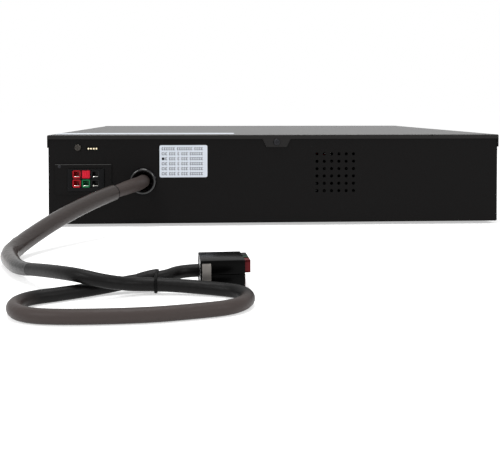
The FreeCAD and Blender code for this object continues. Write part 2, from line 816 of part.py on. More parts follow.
def lead_tube(runs, diameter):
    """Tube along lines and arcs, one after another."""
    path = Part.Wire([piece.toShape() for piece in runs])
    start = runs[0].StartPoint
    heading = runs[0].EndPoint - start
    tube = path.makePipeShell([ring(start, heading, diameter)], True, False)
    wanted = diameter ** 2 / math.sqrt(2) * path.Length
    print("tube", diameter, "length", round(path.Length, 1),
          "volume / section times length", round(tube.Volume / wanted, 4))
    return tube


def split_line(line):
    """Two halves of a straight run."""
    middle = (line.StartPoint + line.EndPoint) * 0.5
    return Part.LineSegment(line.StartPoint, middle), Part.LineSegment(middle, line.EndPoint)


def lead_pieces():
    """Neck, sleeved length and tail of the output lead."""
    runs = route_runs()
    first, second = split_line(runs[neck_run_count - 1][0])
    third, fourth = split_line(runs[tail_run_count][0])
    flat = []
    for line, arc in runs[:neck_run_count - 1]:
        flat += [line, arc]
    neck = flat + [first]
    middle = [second, runs[neck_run_count - 1][1]]
    for line, arc in runs[neck_run_count:tail_run_count]:
        middle += [line, arc]
    middle.append(third)
    end = [fourth, runs[tail_run_count][1]]
    for line, arc in runs[tail_run_count + 1:]:
        end += [line] + ([arc] if arc else [])
    return {"cable_neck": lead_tube(neck, core_diameter),
            "cable_sleeve": lead_tube(middle, sleeve_diameter),
            "cable_tail": lead_tube(end, tail_diameter)}


def cable_inner():
    """The lead's first stretch inside the case."""
    x, y, z = lead_route[0]
    return small_rod((x, y, z), (x, inner_cable_end, z), core_diameter)


def zip_tie():
    """Band round two strands of the lead, with its locking head behind them."""
    (y1, z1), (y2, z2) = tie_front, tie_rear
    aim = math.atan2(z2 - z1, y2 - y1)
    inner = tail_diameter / 2 + tie_clearance

    def outline(radius):
        def point(cy, cz, angle):
            return Vector(tie_x - tie_width / 2, cy + radius * math.cos(angle), cz + radius * math.sin(angle))
        up, down = aim + math.pi / 2, aim - math.pi / 2
        a, b, c, d = point(y1, z1, up), point(y2, z2, up), point(y2, z2, down), point(y1, z1, down)
        return Part.Wire([Part.LineSegment(a, b).toShape(),
                          Part.Arc(b, point(y2, z2, aim), c).toShape(),
                          Part.LineSegment(c, d).toShape(),
                          Part.Arc(d, point(y1, z1, aim + math.pi), a).toShape()])
    along = Vector(tie_width, 0, 0)
    band = Part.Face(outline(inner + tie_thickness)).extrude(along).cut(Part.Face(outline(inner)).extrude(along))
    head_y = y2 + inner + tie_thickness / 2
    head = block(tie_x - tie_width * 1.1, tie_x + tie_width * 0.2, head_y, head_y + tie_head_height,
                 z2 - tie_head_length / 2, z2 + tie_head_length / 2)
    tie = union([band, head])
    tie.translate(Vector(lead_shift_x, lead_shift_y, 0))
    return tie


# ---- plug -------------------------------------------------------------------------------------------------------
def at_plug(shape):
    """Put a shape made with the cable's entry at the origin and its nose along +X in place."""
    x, y, z = lead_route[-1]
    placed = shape.copy()
    placed.rotate(Vector(0, 0, 0), Vector(0, 0, 1), plug_yaw)
    placed.translate(Vector(x, y, z))
    return placed


def plug_body():
    """Outside of both shells together, with the room for the poles and the lead cut out."""
    half_w, half_h = plug_width / 2, plug_height / 2
    body = block(0, plug_length, -half_w, half_w, -half_h, half_h)
    body = fillet_along(body, Vector(1, 0, 0), plug_edge)
    body = chamfer_along(body, Vector(0, 1, 0), plug_edge / 2, lambda m: m.x > plug_length - 0.1)
    room_w = (pole_pitch * 2 + pole_size) / 2 + plug_inner_clearance
    room_h = (pole_pitch + pole_size) / 2 + plug_inner_clearance
    room_x = plug_length + plug_lower_proud - pole_length
    return body.cut(block(room_x, plug_length, -room_w, room_w, -room_h, room_h))


def plug_shell(upper):
    """One half of the plug's shell."""
    half_w, half_h = plug_width / 2, plug_height / 2
    body = plug_body()
    if upper:
        return body.common(block(0, plug_length, -half_w, half_w, 0, half_h))
    return body.common(block(0, plug_length, -half_w, half_w, -half_h, 0))


def plug_poles(cells):
    """Housings of the plug, mouths towards the nose, for the named columns and rows."""
    poles = []
    for column, row, blank in cells:
        pole = pole_housing(blank)
        pole.rotate(Vector(0, 0, 0), Vector(0, 0, 1), 90)
        pole.rotate(Vector(0, 0, 0), Vector(1, 0, 0), 180)
        proud = plug_pole_proud if row > 0 else plug_lower_proud
        pole.translate(Vector(plug_length + proud, column * pole_pitch, row * pole_pitch / 2))
        poles.append(at_plug(pole))
    return group(poles)


def plug_cable_clamp():
    """Saddle of bright strip round the near side of the plug's rear end."""
    half_w = plug_width / 2
    x0, x1 = plug_clamp_inset, plug_clamp_inset + plug_clamp_width
    z0 = -plug_height / 2 + plug_edge
    z1 = z0 + plug_clamp_height
    side = -half_w
    inner = [Vector(x0, side, z0), Vector(x0, side, z1)]
    outline = Part.Wire([
        Part.LineSegment(inner[1], inner[0]).toShape(),
        Part.LineSegment(inner[0], Vector(x0, side - plug_clamp_thickness, z0)).toShape(),
        Part.Arc(Vector(x0, side - plug_clamp_thickness, z0),
                 Vector(x0, side - plug_clamp_thickness - plug_clamp_bow, (z0 + z1) / 2),
                 Vector(x0, side - plug_clamp_thickness, z1)).toShape(),
        Part.LineSegment(Vector(x0, side - plug_clamp_thickness, z1), inner[1]).toShape()])
    return at_plug(Part.Face(outline).extrude(Vector(x1 - x0, 0, 0)))


# ---- batteries --------------------------------------------------------------------------------------------------
def battery_front_y(index):
    """Underside of a battery (its +Y end); index 0 is next to the wiring bay."""
    return tray_front_y - (2 - index) * battery_pitch


def battery(side, index):
    """One sealed battery on its side: its terminals face -Y."""
    middle = side * cartridge_offset
    y1 = battery_front_y(index)
    y0 = y1 - battery_case_height
    half = battery_length / 2
    lid_y = y0 + battery_lid_height
    case = block(middle - half, middle + half, lid_y, y1, battery_z0, battery_top_z)
    case = chamfer_along(case, Vector(0, 1, 0), battery_corner)
    step = battery_lid_step
    lid = block(middle - half + step, middle + half - step, y0, lid_y,
                battery_z0 + step, battery_top_z - step)
    lid = chamfer_along(lid, Vector(0, 1, 0), battery_corner)
    body = union([case, lid])
    for end in (-1, 1):
        x = middle + end * terminal_offset_x
        pocket = terminal_pocket / 2
        body = body.cut(block(x - pocket, x + pocket, y0, y0 + terminal_pocket_depth,
                              terminal_z - pocket, terminal_z + pocket))
    return body


def battery_terminals():
    """Flat tabs, two on each battery."""
    tabs = []
    for side in (-1, 1):
        for index in range(3):
            floor = battery_front_y(index) - battery_case_height + terminal_pocket_depth
            for end in (-1, 1):
                x = side * cartridge_offset + end * terminal_offset_x
                tabs.append(block(x - terminal_width / 2, x + terminal_width / 2,
                                  floor - terminal_pocket_depth - terminal_length, floor,
                                  terminal_z - terminal_thickness / 2,
                                  terminal_z + terminal_thickness / 2))
    return group(tabs)


def tab_y(index):
    """Where a wire meets the tabs of a battery."""
    return battery_front_y(index) - battery_case_height - battery_gap / 2


def cartridge_screw_places():
    """Two screws at the sides of each cartridge's front plate."""
    reach = cartridge_half + cartridge_opening_play + cartridge_screw_offset
    return [(side * cartridge_offset + end * reach, battery_mid_z)
            for side in (-1, 1) for end in (-1, 1)]


def cartridge_tray(side):
    """Folded cartridge: floor, two low walls and the front plate."""
    middle = side * cartridge_offset
    y0 = battery_front_y(0) - battery_case_height
    inside = cartridge_half - cartridge_sheet
    tray = block(middle - cartridge_half, middle + cartridge_half, y0, tray_front_y,
                 glide_top, battery_z0 + cartridge_wall_height)
    tray = tray.cut(block(middle - inside, middle + inside, y0, tray_front_y,
                          battery_z0, battery_z0 + cartridge_wall_height))
    reach = cartridge_half + cartridge_plate_margin
    plate = block(middle - reach, middle + reach, tray_front_y, tray_front_y + cartridge_sheet,
                  glide_top, battery_top_z + cartridge_plate_rise)
    tray = union([tray, plate])
    for x, z in cartridge_screw_places():
        if abs(x - middle) < reach:
            tray = tray.cut(small_hole((x, tray_front_y, z), (x, tray_front_y + cartridge_sheet, z),
                                       screw_diameter + screw_clearance))
    return tray


def cartridge_handles():
    """Bent strip on each front plate, to pull the cartridge out."""
    handles = []
    for side in (-1, 1):
        middle = side * cartridge_offset
        half = handle_width / 2
        y0 = tray_front_y + cartridge_sheet
        y1 = y0 + handle_stand_off
        z0, z1 = battery_mid_z - handle_strip / 2, battery_mid_z + handle_strip / 2
        strip = block(middle - half, middle + half, y0, y1, z0, z1)
        strip = strip.cut(block(middle - half + handle_thickness, middle + half - handle_thickness,
                                y0, y1 - handle_thickness, z0, z1))
        sole = block(middle - half - handle_foot, middle + half + handle_foot,
                     y0, y0 + handle_thickness, z0, z1)
        sole = sole.cut(block(middle - half, middle + half, y0, y0 + handle_thickness, z0, z1))
        handles.append(union([strip] + sole.Solids))
    return group(handles)


def hexagon(radius):
    """Corners of a hexagon, first one repeated."""
    return [(radius * math.cos(math.pi / 3 * k), radius * math.sin(math.pi / 3 * k)) for k in range(7)]


def hexagon_head(x, z, seat):
    """Hexagon head of a cartridge's screw, from its seat towards +Y."""
    corners = [Vector(x + u, seat, z + v) for u, v in hexagon(cartridge_screw_head / 2)]
    return Part.Face(Part.makePolygon(corners)).extrude(Vector(0, cartridge_screw_head_height, 0))


def cartridge_screws():
    """Screws through the front plates into the tray's front wall."""
    screws = []
    for x, z in cartridge_screw_places():
        seat = tray_front_y + cartridge_sheet
        head = hexagon_head(x, z, seat)
        shank = small_rod((x, seat - cartridge_screw_length, z), (x, seat, z), screw_diameter)
        screws.append(union([head, shank]))
    return group(screws)


def glide_strips():
    """Nylon strips that the cartridges slide on."""
    strips = []
    for side in (-1, 1):
        for end in (-1, 1):
            x = side * cartridge_offset + end * (cartridge_half - glide_width)
            y1 = tray_front_y - sheet - seam
            strips.append(block(x - glide_width / 2, x + glide_width / 2, y1 - glide_length, y1,
                                floor_z, glide_top))
    return group(strips)


def foam_pads():
    """Foam between each battery and the cover."""
    pads = []
    for side in (-1, 1):
        for index in range(3):
            x = side * cartridge_offset
            y = battery_front_y(index) - battery_case_height / 2
            pads.append(block(x - foam_length / 2, x + foam_length / 2, y - foam_width / 2,
                              y + foam_width / 2, battery_top_z, cover_z))
    return group(pads)


# ---- wiring bay -------------------------------------------------------------------------------------------------
def busbar_block():
    """Insulating block on the tray's floor."""
    body = block(-block_length / 2, block_length / 2, block_y - block_width / 2, block_y + block_width / 2,
                 floor_z, block_top)
    return chamfer_along(body, Vector(0, 0, 1), block_corner)


def busbar(span):
    """Brass bar on the block."""
    return block(span[0], span[1], block_y - bar_width / 2, block_y + bar_width / 2,
                 block_top, block_top + bar_thickness)


def bar_screw_places():
    """Middle of each clamping screw on the bars."""
    return [battery_bar_span[0] + bar_screw_inset, negative_bar_span[0] + bar_screw_inset,
            negative_bar_span[1] - bar_screw_inset]


def bar_screws():
    """Hexagon screws that clamp the bars to the block."""
    screws = []
    for x in bar_screw_places():
        seat = block_top + bar_thickness
        corners = [Vector(x + u, block_y + v, seat) for u, v in hexagon(bar_screw_head / 2)]
        screws.append(Part.Face(Part.makePolygon(corners)).extrude(Vector(0, 0, bar_screw_head_height)))
    return group(screws)


def main_fuse():
    """Bolt-down fuse across the battery bar and the output bar."""
    x0 = battery_bar_span[1] - fuse_blade_overlap
    x1 = output_bar_span[0] + fuse_blade_overlap
    z0 = block_top + bar_thickness
    blade = block(x0, x1, block_y - fuse_blade_width / 2, block_y + fuse_blade_width / 2,
                  z0, z0 + fuse_blade_thickness)
    middle = (battery_bar_span[1] + output_bar_span[0]) / 2
    body = block(middle - fuse_body_length / 2, middle + fuse_body_length / 2,
                 block_y - fuse_body_width / 2, block_y + fuse_body_width / 2, z0, z0 + fuse_body_height)
    body = chamfer_along(body, Vector(1, 0, 0), fuse_edge)
    return union([body, blade])


def series_jumpers():
    """Wires that put the three batteries of each cartridge in series."""
    jumpers = []
    for side in (-1, 1):
        middle = side * cartridge_offset
        for end, first in ((side, 0), (-side, 1)):
            tab_x = middle + end * (terminal_offset_x + terminal_width / 2)
            far_x = middle + end * (battery_length / 2 + jumper_x_offset)
            jumpers.append(wire_lead([(tab_x, tab_y(first), terminal_z), (far_x, tab_y(first), terminal_z),
                                      (far_x, tab_y(first + 1), terminal_z),
                                      (tab_x, tab_y(first + 1), terminal_z)]))
    return group(jumpers)


def pole_back(index):
    """Where a wire enters the back of a pole."""
    x, z = pole_places()[index]
    return x, socket_face_y + pole_setback + pole_length - wire_entry, z


def lead_to_bar(start, lane, lane_z, bar_x):
    """Wire from a pole or the cable: back to its lane, along it, down, and into the bar's near face."""
    x, _, z = start
    near_y = block_y - bar_width / 2
    lane_y = near_y - lane
    places = [start, (x, lane_y, z), (x, lane_y, lane_z), (bar_x, lane_y, lane_z),
              (bar_x, lane_y, bar_mid_z), (bar_x, near_y, bar_mid_z)]
    if lane_z == z:
        places.pop(2)
    return wire_lead(places)


def red_leads():
    """Positive wires: from both strings to the fuse, and on to the socket and the output lead."""
    far_y = block_y + bar_width / 2
    lane_y = far_y + string_lane
    first_string_x = battery_bar_span[0] + string_lead_inset
    leads = []
    for side, bar_x in ((-1, first_string_x), (1, first_string_x + string_lead_pitch)):
        middle = side * cartridge_offset
        tab_x = middle - side * (terminal_offset_x + terminal_width / 2)
        far_x = middle - side * (battery_length / 2 + jumper_x_offset)
        leads.append(wire_lead([(tab_x, tab_y(0), terminal_z), (far_x, tab_y(0), terminal_z),
                                (far_x, lane_y, terminal_z), (bar_x, lane_y, terminal_z),
                                (bar_x, lane_y, bar_mid_z), (bar_x, far_y, bar_mid_z)]))
    cable_x, _, cable_z = lead_route[0]
    first_x = output_bar_span[0] + lead_inset
    leads.append(lead_to_bar((cable_x + lead_pair_offset, inner_cable_end, cable_z),
                             red_cable_lane, red_cable_z, first_x))
    for index, place in ((RED_LOWER, 1), (RED_UPPER, 2)):
        start = pole_back(index)
        leads.append(lead_to_bar(start, outer_lane, start[2], first_x + place * lead_pitch))
    return group(leads)


def black_leads():
    """Negative wires: from both strings to the negative bar, and on to the socket and the lead."""
    far_y = block_y + bar_width / 2
    low_z = floor_z + bay_lead_gap
    bay_y = battery_front_y(0) - battery_case_height - bay_lead_gap
    leads = []
    for side, bar_x in ((-1, negative_bar_span[0] + return_lead_inset),
                        (1, negative_bar_span[1] - return_lead_inset)):
        middle = side * cartridge_offset
        tab_x = middle + side * (terminal_offset_x + terminal_width / 2)
        far_x = middle + side * (battery_length / 2 + long_lead_x_offset)
        leads.append(wire_lead([(tab_x, tab_y(2), terminal_z), (far_x, tab_y(2), terminal_z),
                                (far_x, bay_y, terminal_z), (far_x, bay_y, low_z),
                                (bar_x, bay_y, low_z), (bar_x, bay_y, bar_mid_z),
                                (bar_x, far_y, bar_mid_z)]))
    cable_x, _, cable_z = lead_route[0]
    first_x = negative_bar_span[0] + lead_inset
    leads.append(lead_to_bar((cable_x - lead_pair_offset, inner_cable_end, cable_z),
                             black_cable_lane, black_cable_z, first_x))
    for index, place in ((BLACK_LOWER, 1), (BLACK_UPPER, 2)):
        start = pole_back(index)
        leads.append(lead_to_bar(start, inner_lane, start[2], first_x + place * lead_pitch))
    return group(leads)


def green_lead():
    """Earth wire from its pole to the tray's floor."""
    x, y, z = pole_back(GREEN)
    drop_y = y + wire_entry / 2 + earth_lane
    return wire_lead([(x, y, z), (x, drop_y, z), (x, drop_y, floor_z)])


# ---- all nodes --------------------------------------------------------------------------------------------------
def build():
    """Every node's name and shape."""
    nodes = {
        "base_tray": base_tray(), "rear_panel": rear_panel(), "top_cover": top_cover(),
        "front_bezel": front_bezel(), "rubber_feet": rubber_feet(),
        "cover_tab_screw": cover_tab_screw(), "cover_side_screws": cover_side_screws(),
        "socket_plate": socket_plate(), "plate_rivets": plate_rivets(), "socket_frame": socket_frame(),
        "red_pole_upper": at_pole(pole_housing(), RED_UPPER),
        "red_pole_lower": at_pole(pole_housing(), RED_LOWER),
        "red_blank_pole": at_pole(pole_housing(True), RED_BLANK),
        "green_pole": at_pole(pole_housing(), GREEN),
        "black_pole_upper": at_pole(pole_housing(), BLACK_UPPER),
        "black_pole_lower": at_pole(pole_housing(), BLACK_LOWER),
        "pole_contacts": pole_contacts(),
        "detect_board": detect_board(), "board_spacer": board_spacer(), "board_screw": board_screw(),
        "pin_header": pin_header(), "header_pins": header_pins(),
        "spec_label": spec_label(), "cover_label": cover_label(),
        "cable_bushing": cable_bushing(), "cable_inner": cable_inner(),
        "zip_tie": zip_tie(),
        "plug_shell_upper": at_plug(plug_shell(True)), "plug_shell_lower": at_plug(plug_shell(False)),
        "plug_cable_clamp": plug_cable_clamp(),
        "plug_red_poles": plug_poles([(-1, 1, False), (-1, -1, False), (0, -1, True)]),
        "plug_green_pole": plug_poles([(0, 1, False)]),
        "plug_black_poles": plug_poles([(1, 1, False), (1, -1, False)]),
        "battery_terminals": battery_terminals(),
        "cartridge_tray_left": cartridge_tray(-1), "cartridge_tray_right": cartridge_tray(1),
        "cartridge_handles": cartridge_handles(), "cartridge_screws": cartridge_screws(),
        "glide_strips": glide_strips(), "foam_pads": foam_pads(),
        "busbar_block": busbar_block(), "battery_bar": busbar(battery_bar_span),
        "output_bar": busbar(output_bar_span), "negative_bar": busbar(negative_bar_span),
        "bar_screws": bar_screws(), "main_fuse": main_fuse(), "series_jumpers": series_jumpers(),
        "red_leads": red_leads(), "black_leads": black_leads(), "green_lead": green_lead(),
    }
    for side, first in ((-1, 1), (1, 4)):
        for index in range(3):
            nodes["battery_%d" % (first + index)] = battery(side, index)
    nodes.update(lead_pieces())
    return nodes


os.makedirs("parts", exist_ok=True)
for name, shape in build().items():
    if not shape.isValid():
        print("not valid:", name)
    shape.exportStep("parts/%s.step" % name)
    print(name, len(shape.Solids), round(shape.Volume / 1000, 2), "cm3")
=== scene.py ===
"""Looks of a 2U battery pack for a UPS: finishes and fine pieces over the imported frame.

Lengths are written in millimetres and turned to metres by mm(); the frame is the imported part's
own: +Z up, the rear panel with the socket and the output lead faces -Y.
"""
from __future__ import annotations

import logging
import math
from dataclasses import dataclass, field
from enum import Enum
from typing import Callable, Iterable, Sequence

import bmesh
import bpy
from mathutils import Matrix, Vector

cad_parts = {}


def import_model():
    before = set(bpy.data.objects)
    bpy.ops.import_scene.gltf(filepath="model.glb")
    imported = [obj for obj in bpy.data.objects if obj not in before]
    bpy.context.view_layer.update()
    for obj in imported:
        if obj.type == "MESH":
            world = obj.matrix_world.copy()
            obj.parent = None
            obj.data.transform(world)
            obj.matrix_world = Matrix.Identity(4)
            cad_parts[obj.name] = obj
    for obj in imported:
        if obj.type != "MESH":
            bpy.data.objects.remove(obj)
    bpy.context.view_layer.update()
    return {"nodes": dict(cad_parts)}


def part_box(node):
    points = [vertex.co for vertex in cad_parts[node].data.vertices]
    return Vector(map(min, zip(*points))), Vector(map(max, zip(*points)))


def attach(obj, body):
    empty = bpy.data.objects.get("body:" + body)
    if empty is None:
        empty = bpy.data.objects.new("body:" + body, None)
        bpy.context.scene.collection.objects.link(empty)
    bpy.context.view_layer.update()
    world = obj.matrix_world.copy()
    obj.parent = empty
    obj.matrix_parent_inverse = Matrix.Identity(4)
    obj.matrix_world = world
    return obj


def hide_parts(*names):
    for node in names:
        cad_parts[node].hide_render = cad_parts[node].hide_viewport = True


log = logging.getLogger("battery_pack")

BODY = "root"
METRE = 1000.0                   # millimetres
GRAIN_DETAIL = 3.0               # octaves of a surface's grain
BOX_ROUND, PRISM_ROUND = 3, 2    # facets in the rounded edges of a box and of a plate
Point = tuple[float, float, float]
Profile = Sequence[tuple[float, float]]


def mm(value: float) -> float:
    """Millimetres to metres."""
    return value / METRE


def place(x: float, y: float, z: float) -> Vector:
    """A point given in millimetres."""
    return Vector((mm(x), mm(y), mm(z)))


def linear(code: str) -> tuple[float, float, float, float]:
    """Turn an sRGB hex colour into linear values.

    Args:
        code: Colour such as "1c1c1e".

    Returns:
        Red, green, blue and alpha for a shader's socket.
    """
    channels = []
    for start in (0, 2, 4):
        value = int(code[start:start + 2], 16) / 255.0
        channels.append(value / 12.92 if value <= 0.04045 else ((value + 0.055) / 1.055) ** 2.4)
    return channels[0], channels[1], channels[2], 1.0


def add_node(tree: bpy.types.NodeTree, kind: str, settings: dict | None = None,
             links: dict | None = None) -> bpy.types.Node:
    """Add a node with its settings and links.

    Args:
        tree: Node tree that gets the node.
        kind: Blender's name of the node type.
        settings: Attribute or input names, with their values.
        links: Input names, with the output socket that feeds each.

    Returns:
        The new node.
    """
    node = tree.nodes.new(kind)
    for name, value in (settings or {}).items():
        if name in node.inputs:
            node.inputs[name].default_value = value
        else:
            setattr(node, name, value)
    for name, socket in (links or {}).items():
        tree.links.new(socket, node.inputs[name])
    return node


def empty_tree(owner: bpy.types.ID) -> bpy.types.NodeTree:
    """Give a material or a world its node tree, with nothing in it.

    Args:
        owner: The material or world.

    Returns:
        Its tree.
    """
    owner.use_nodes = True
    owner.node_tree.nodes.clear()
    return owner.node_tree


def put(name: str, data: bpy.types.ID) -> bpy.types.Object:
    """Make an object of its data and link it to the scene.

    Args:
        name: The object's name.
        data: Its mesh, curve, lamp or camera.

    Returns:
        The object.
    """
    made = bpy.data.objects.new(name, data)
    bpy.context.scene.collection.objects.link(made)
    return made


# ---- finishes -----------------------------------------------------------------------------------
class Surface(Enum):
    """How a surface was made, which decides its relief."""

    PLAIN = "plain"
    POWDER = "powder coat"
    MOULDED = "moulded"
    BRUSHED = "brushed"
    WRINKLED = "wrinkled"
    PAPER = "paper"


# Brushing draws the grain out along X, and the wrinkles of a soft jacket lie closer together along Z.
STRETCH: dict[Surface, Point] = {Surface.BRUSHED: (1.0, 14.0, 14.0), Surface.WRINKLED: (1.0, 1.0, 2.4)}
# The heap of the lead from its front to its back, in mm of Y. Its jacket keeps its grey-brown at the first
# pair of places along that way as painted light, and is painted black between the second pair as painted
# shade.
HEAP_FRONT, HEAP_BACK = -540.0, -400.0
PAINTED_LIGHT_ENDS = (0.22, 0.98)
PAINTED_SHADE_MIDDLE = (0.36, 0.87)


@dataclass(frozen=True)
class Finish:
    """One material: what it is, its colour and what its make gives the eye.

    Attributes:
        name: Name of the real material.
        colour: sRGB hex colour.
        roughness: Roughness of its skin.
        metallic: How much of it is bare metal.
        ior: Refractive index, which a metal doesn't use.
        specular: Level of its reflections, which a metal doesn't use.
        coat: Weight of a clear film over it.
        coat_roughness: Roughness of that film.
        surface: How it was made.
        grain_mm: Size of its grain in millimetres.
        relief: Strength of the grain's bumps.
        rough_spread: How far the grain moves the roughness to either side.
        deep: sRGB hex colour painted in the middle of the lead's heap, as painted shade on what lies there.
    """

    name: str
    colour: str
    roughness: float
    metallic: float = 0.0
    ior: float = 1.5
    specular: float = 0.5
    coat: float = 0.0
    coat_roughness: float = 0.12
    surface: Surface = Surface.PLAIN
    grain_mm: float = 0.5
    relief: float = 0.1
    rough_spread: float = 0.0
    deep: str | None = None

    def material(self) -> bpy.types.Material:
        """Build the material once and reuse it.

        Returns:
            The material of this finish's name.
        """
        known = bpy.data.materials.get(self.name)
        if known is not None:
            return known
        made = bpy.data.materials.new(self.name)
        tree = empty_tree(made)
        shader = add_node(tree, "ShaderNodeBsdfPrincipled", {
            "Base Color": linear(self.colour), "Roughness": self.roughness, "Metallic": self.metallic,
            "Coat Weight": self.coat, "Coat Roughness": self.coat_roughness})
        if not self.metallic:
            shader.inputs["IOR"].default_value = self.ior
            shader.inputs["Specular IOR Level"].default_value = self.specular
        add_node(tree, "ShaderNodeOutputMaterial", links={"Surface": shader.outputs["BSDF"]})
        if self.surface is not Surface.PLAIN:
            self._relief(tree, shader)
        if self.deep is not None:
            self._paint_heap_light_and_shade(tree, shader, linear(self.deep))
        return made

    def _relief(self, tree: bpy.types.NodeTree, shader: bpy.types.Node) -> None:
        """Fine relief of the surface, with its real grain size.

        Args:
            tree: The material's node tree.
            shader: Its Principled shader.
        """
        coords = add_node(tree, "ShaderNodeTexCoord")
        mapping = add_node(tree, "ShaderNodeMapping", {"Scale": STRETCH.get(self.surface, (1.0, 1.0, 1.0))},
                           {"Vector": coords.outputs["Object"]})
        noise = add_node(tree, "ShaderNodeTexNoise", {
            "Scale": 1.0 / mm(self.grain_mm), "Detail": GRAIN_DETAIL}, {"Vector": mapping.outputs["Vector"]})
        bump = add_node(tree, "ShaderNodeBump", {"Strength": self.relief, "Distance": mm(self.grain_mm)},
                        {"Height": noise.outputs["Fac"]})
        tree.links.new(bump.outputs["Normal"], shader.inputs["Normal"])
        if self.rough_spread:
            spread = add_node(tree, "ShaderNodeMapRange", {
                "To Min": self.roughness - self.rough_spread, "To Max": self.roughness + self.rough_spread},
                {"Value": noise.outputs["Fac"]})
            tree.links.new(spread.outputs["Result"], shader.inputs["Roughness"])

    def _paint_heap_light_and_shade(self, tree: bpy.types.NodeTree, shader: bpy.types.Node,
              black: tuple[float, float, float, float]) -> None:
        """Blacker in the middle of the heap as painted shade, with the jacket's own colour at its ends as
        painted light.

        Args:
            tree: The material's node tree.
            shader: Its Principled shader.
            black: Linear colour of the middle, the painted shade.
        """
        coords = add_node(tree, "ShaderNodeTexCoord")
        axes = add_node(tree, "ShaderNodeSeparateXYZ", links={"Vector": coords.outputs["Object"]})
        depth = add_node(tree, "ShaderNodeMapRange", {"From Min": mm(HEAP_FRONT), "From Max": mm(HEAP_BACK)},
                         {"Value": axes.outputs["Y"]})
        # Painted light and shade: the jacket's colour at the heap's ends, painted black in its middle.
        ramp = add_node(tree, "ShaderNodeValToRGB", links={"Fac": depth.outputs["Result"]})
        stops = ramp.color_ramp.elements
        for stop, position in zip(stops, PAINTED_LIGHT_ENDS):
            stop.position, stop.color = position, linear(self.colour)
        for position in PAINTED_SHADE_MIDDLE:
            stops.new(position).color = black
        tree.links.new(ramp.outputs["Color"], shader.inputs["Base Color"])


# Powder coat on steel: a near-black, even film with a fine orange peel that blurs reflections.
POWDER_STEEL = Finish("powder_coated_steel", "100f0f", 0.42, specular=0.06, surface=Surface.POWDER,
                      grain_mm=0.9, relief=0.12, rough_spread=0.04)
# The same coat on the cover, rubbed smoother: it mirrors the pale room at a low angle.
COVER_STEEL = Finish("powder_coated_cover", "110f0e", 0.34, specular=0.2, surface=Surface.POWDER,
                     grain_mm=0.9, relief=0.06, rough_spread=0.03)
# Injection-moulded ABS: the bezel's satin grain.
MOULDED_ABS = Finish("moulded_abs_black", "171718", 0.5, specular=0.15, surface=Surface.MOULDED,
                     grain_mm=0.7, relief=0.15)
# Black-oxide steel: darker than zinc, with soft highlights on its edges.
OXIDE_STEEL = Finish("black_oxide_steel", "2c2c2e", 0.38, metallic=1.0)
# Grey strip on the face of the socket's plate along its top: a painted highlight where the top edge catches
# the light.
PLATE_EDGE_HIGHLIGHT = Finish("painted_edge_highlight", "3c3c3b", 0.4, specular=0.3)
# Nickel-plated steel: bright and slightly warm, with turned marks too fine to see.
NICKEL_STEEL = Finish("nickel_plated_steel", "b9b6b0", 0.28, metallic=1.0)
# Black nickel: dark, with small hard glints on the edges of the cross.
BLACK_NICKEL = Finish("black_nickel_plate", "3a3734", 0.16, metallic=0.9)
# Glass-filled nylon of the socket's frame: dark with a faint sheen.
GLASS_NYLON = Finish("glass_filled_nylon", "0d0d0e", 0.4, specular=0.08, surface=Surface.MOULDED,
                     grain_mm=0.4, relief=0.08)
# Moulded polycarbonate of the poles: saturated colour under a smooth skin.
RED_POLYCARBONATE = Finish("red_polycarbonate", "b3101f", 0.36, specular=0.25)
# The blank cell has no mouth, so its red looks paler and duller.
RED_BLANK = Finish("red_polycarbonate_blank", "d01c33", 0.42, specular=0.15)
# Green of the same resin, for the auxiliary contact.
GREEN_POLYCARBONATE = Finish("green_polycarbonate", "0f7444", 0.34, specular=0.25)
# The plug's poles sit in its shell's shade: darker copies of the resins paint that shade into their colour.
PLUG_RED = Finish("red_polycarbonate_painted_shade", "5a0810", 0.4, specular=0.15)
PLUG_GREEN = Finish("green_polycarbonate_painted_shade", "0b2a1a", 0.4, specular=0.1)
# The same resin in black, with a sharper sheen.
BLACK_POLYCARBONATE = Finish("black_polycarbonate", "121213", 0.3, specular=0.2)
# Silver-plated copper: the brightest thing in the socket.
SILVER_PLATE = Finish("silver_plated_copper", "e9e7e0", 0.18, metallic=1.0)
# Gold flash over nickel on the header's pins.
GOLD_FLASH = Finish("gold_flashed_brass", "f6e6c4", 0.35, metallic=0.6)
# Coated label stock: a cool white with a slight gloss.
LABEL_STOCK = Finish("coated_label_paper", "cdd3dc", 0.42, surface=Surface.PAPER, grain_mm=0.3,
                     relief=0.03)
# Thermal-print ink: flat and nearly black.
LABEL_INK = Finish("label_ink", "15171d", 0.6, specular=0.1)
# Polished nylon of the cable bushing: black, with hard reflections.
POLISHED_NYLON = Finish("polished_nylon", "060607", 0.12, specular=0.3, coat=0.5)
# Soft PVC jacket of the lead: dark grey-brown, painted black in the middle of the heap as painted shade.
PVC_JACKET = Finish("soft_pvc_jacket", "403937", 0.44, specular=0.14, surface=Surface.WRINKLED,
                    grain_mm=3.0, relief=0.08, deep="080707")
# Shrink sleeving over the leads: greyer than the jacket, with a long soft streak of light, and painted black
# towards the heap as painted shade.
SHRINK_SLEEVE = Finish("shrink_sleeving", "352f2d", 0.36, specular=0.12, coat=0.3, surface=Surface.WRINKLED,
                       grain_mm=5.0, relief=0.12, deep="080707")
# Nylon 66 of the tie: black and smooth.
TIE_NYLON = Finish("nylon_66_tie", "0a0a0a", 0.5, specular=0.05)
# Gloss ABS of the plug's shells: black, with clear reflections on its bevels.
GLOSS_ABS = Finish("gloss_abs_black", "030303", 0.26, specular=0.05, surface=Surface.MOULDED, grain_mm=1.2,
                   relief=0.03)
# Bright zinc on the plug's cable clamp: light grey and softly brushed.
ZINC_STRIP = Finish("zinc_plated_strip", "76726e", 0.4, metallic=0.7, surface=Surface.BRUSHED,
                    grain_mm=0.8, relief=0.06)
